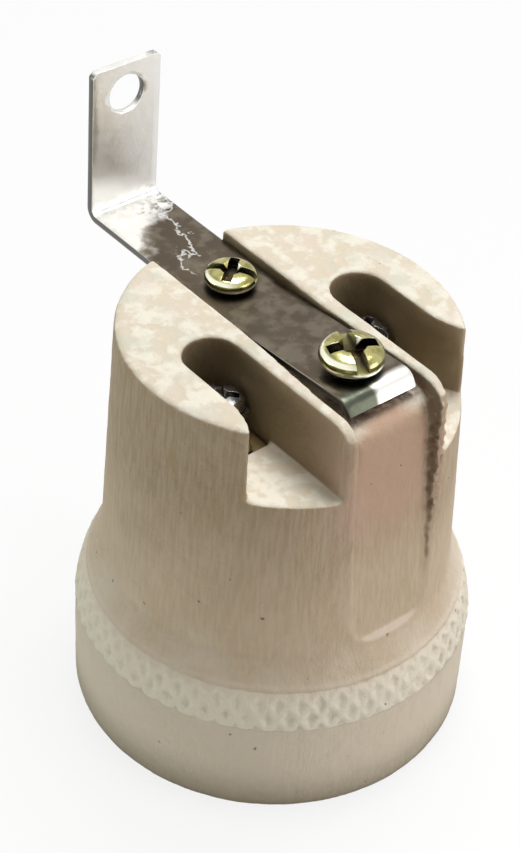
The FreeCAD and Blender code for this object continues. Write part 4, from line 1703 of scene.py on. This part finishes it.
@dataclass
class Studio:
    """White surroundings, a pale floor that keeps the shadow, and soft lamps."""

    ambient: float = 0.05
    floor_half: float = 1.2
    floor_tone: Triple = (0.55, 0.54, 0.52)
    floor_roughness: float = 0.9
    paper_tone: Triple = (0.95, 0.95, 0.95)
    shadow_share: float = 0.16
    aim: Triple = (0.0, 0.0, 0.025)
    lamps: tuple[Lamp, ...] = (
        Lamp("top_lamp", (-0.06, 0.10, 0.49), 0.26, 2.15),
        Lamp("left_low", (-0.20, -0.32, 0.05), 0.20, 0.36, (0.93, 1.0, 0.92)),
        Lamp("low_front", (0.20, -0.22, 0.02), 0.10, 0.14, (1.0, 0.97, 0.92)),
        Lamp("low_right", (0.150, 0.085, 0.085), 0.10, 0.10, (1.0, 0.95, 0.93)),
    )

    @staticmethod
    def seen_directly(pen: Sketch) -> Wire:
        """Tell which rays see the plain white background.

        Args:
            pen: The tree.

        Returns:
            1 for camera, glossy and transmission rays.
        """
        path = pen.add("ShaderNodeLightPath").outputs
        mirror = pen.larger(path["Is Glossy Ray"], path["Is Transmission Ray"])
        return pen.larger(path["Is Camera Ray"], mirror)

    def world(self) -> None:
        """Light the surroundings."""
        world = bpy.data.worlds.new("studio")
        world.use_nodes = True
        pen = Sketch(world.node_tree)
        sky = world.node_tree.nodes["Background"]
        pen.feed(sky.inputs["Color"], (1.0, 1.0, 1.0))
        pen.feed(sky.inputs["Strength"], pen.span(self.seen_directly(pen), 0.0, 1.0, self.ambient, 1.0))
        bpy.context.scene.world = world

    def floor(self) -> None:
        """Lay the floor under the rim."""
        mesh = bpy.data.meshes.new("floor")
        half = self.floor_half
        mesh.from_pydata([(-half, -half, 0), (half, -half, 0), (half, half, 0), (-half, half, 0)], [],
                         [(0, 1, 2, 3)])
        floor = new_piece("floor", mesh)
        material = bpy.data.materials.new("floor_paper")
        material.use_nodes = True
        pen = Sketch(material.node_tree)
        shader = material.node_tree.nodes["Principled BSDF"]
        pen.feed(shader.inputs["Base Color"], self.floor_tone)
        pen.feed(shader.inputs["Roughness"], self.floor_roughness)
        pen.feed(shader.inputs["Specular IOR Level"], 0.0)
        catcher = pen.add("ShaderNodeBsdfDiffuse", {"Color": self.paper_tone}).outputs[0]
        glow = pen.add("ShaderNodeEmission", {"Strength": 1.0}).outputs[0]
        seen = pen.add("ShaderNodeMixShader", {0: self.shadow_share, 1: glow, 2: catcher}).outputs[0]
        both = pen.add("ShaderNodeMixShader", {0: self.seen_directly(pen), 1: shader.outputs[0], 2: seen})
        pen.feed(material.node_tree.nodes["Material Output"].inputs["Surface"], both.outputs[0])
        dress(floor, material)

    def build(self) -> None:
        """Set up world, floor, lamps and colour view."""
        self.world()
        self.floor()
        for lamp in self.lamps:
            lamp.make(Vector(self.aim))
        bpy.context.scene.view_settings.view_transform = "Standard"


@dataclass(frozen=True)
class Viewpoint:
    """A hand-held camera close above the near end of the strap."""

    azimuth: float = 48.72
    elevation: float = 39.89
    roll: float = 3.58
    distance: float = 224.1 * MM
    target: Triple = (-5.10 * MM, 1.32 * MM, 30.63 * MM)
    lens: float = 88.63
    nearest: float = 10 * MM

    def make(self) -> None:
        """Create the camera and make it the scene's."""
        azimuth, elevation, roll = map(math.radians, (self.azimuth, self.elevation, self.roll))
        back = Vector((math.sin(azimuth) * math.cos(elevation), -math.cos(azimuth) * math.cos(elevation),
                       math.sin(elevation)))
        right = Vector((math.cos(azimuth), math.sin(azimuth), 0))
        up = back.cross(right)
        turned_right = right * math.cos(roll) + up * math.sin(roll)
        turned_up = up * math.cos(roll) - right * math.sin(roll)
        data = bpy.data.cameras.new("camera")
        data.lens = self.lens
        data.clip_start = self.nearest
        camera = bpy.data.objects.new("camera", data)
        turn = Matrix((turned_right, turned_up, back)).transposed()
        camera.matrix_world = Matrix.Translation(Vector(self.target) + back * self.distance) @ turn.to_4x4()
        bpy.context.scene.collection.objects.link(camera)
        bpy.context.scene.camera = camera


def screws() -> list[PanScrew]:
    """List the two screws that hold the strap, then the two that clamp the wires.

    Returns:
        Their sizes.
    """
    return [
        PanScrew("front_strap_screw", "bracket_screw_front", Body.ROOT, Slot.SCREW, 3.3 * MM, 2.6 * MM,
                 1.75 * MM, 1.3 * MM, -21.0),
        PanScrew("rear_strap_screw", "bracket_screw_rear", Body.ROOT, Slot.SCREW, 2.75 * MM, 2.1 * MM,
                 1.5 * MM, 1.05 * MM, 38.0),
        PanScrew("live_wire_screw", "live_terminal_screw", Body.LIVE_SCREW, Slot.TERMINAL_STEEL,
                 2.5 * MM, 2.0 * MM, 1.5 * MM, 0.85 * MM, 30.0, 0.05 * MM),
        PanScrew("neutral_wire_screw", "neutral_terminal_screw", Body.NEUTRAL_SCREW, Slot.TERMINAL_STEEL,
                 2.5 * MM, 2.0 * MM, 1.5 * MM, 0.85 * MM, -35.0, 0.05 * MM),
    ]


def main() -> None:
    """Build every piece in order, then the studio and the camera."""
    logging.basicConfig(level=logging.INFO, format="%(name)s %(message)s")
    finishes = Finishes()
    PorcelainMoulding().dressed(finishes)
    KnurlBelt().dressed(finishes)
    MountingStrap().dressed(finishes)
    trees = {Slot.SCREW: PanScrew.tree(finishes.screw),
             Slot.TERMINAL_STEEL: PanScrew.tree(finishes.terminal_steel)}
    for screw in screws():
        screw.dressed(trees[screw.slot])
    ThreadedShell().dressed(finishes)
    ContactLeaf().dressed(finishes)
    CarriedOver().dressed(finishes)
    Studio().build()
    Viewpoint().make()


if __name__ == "__main__":
    main()
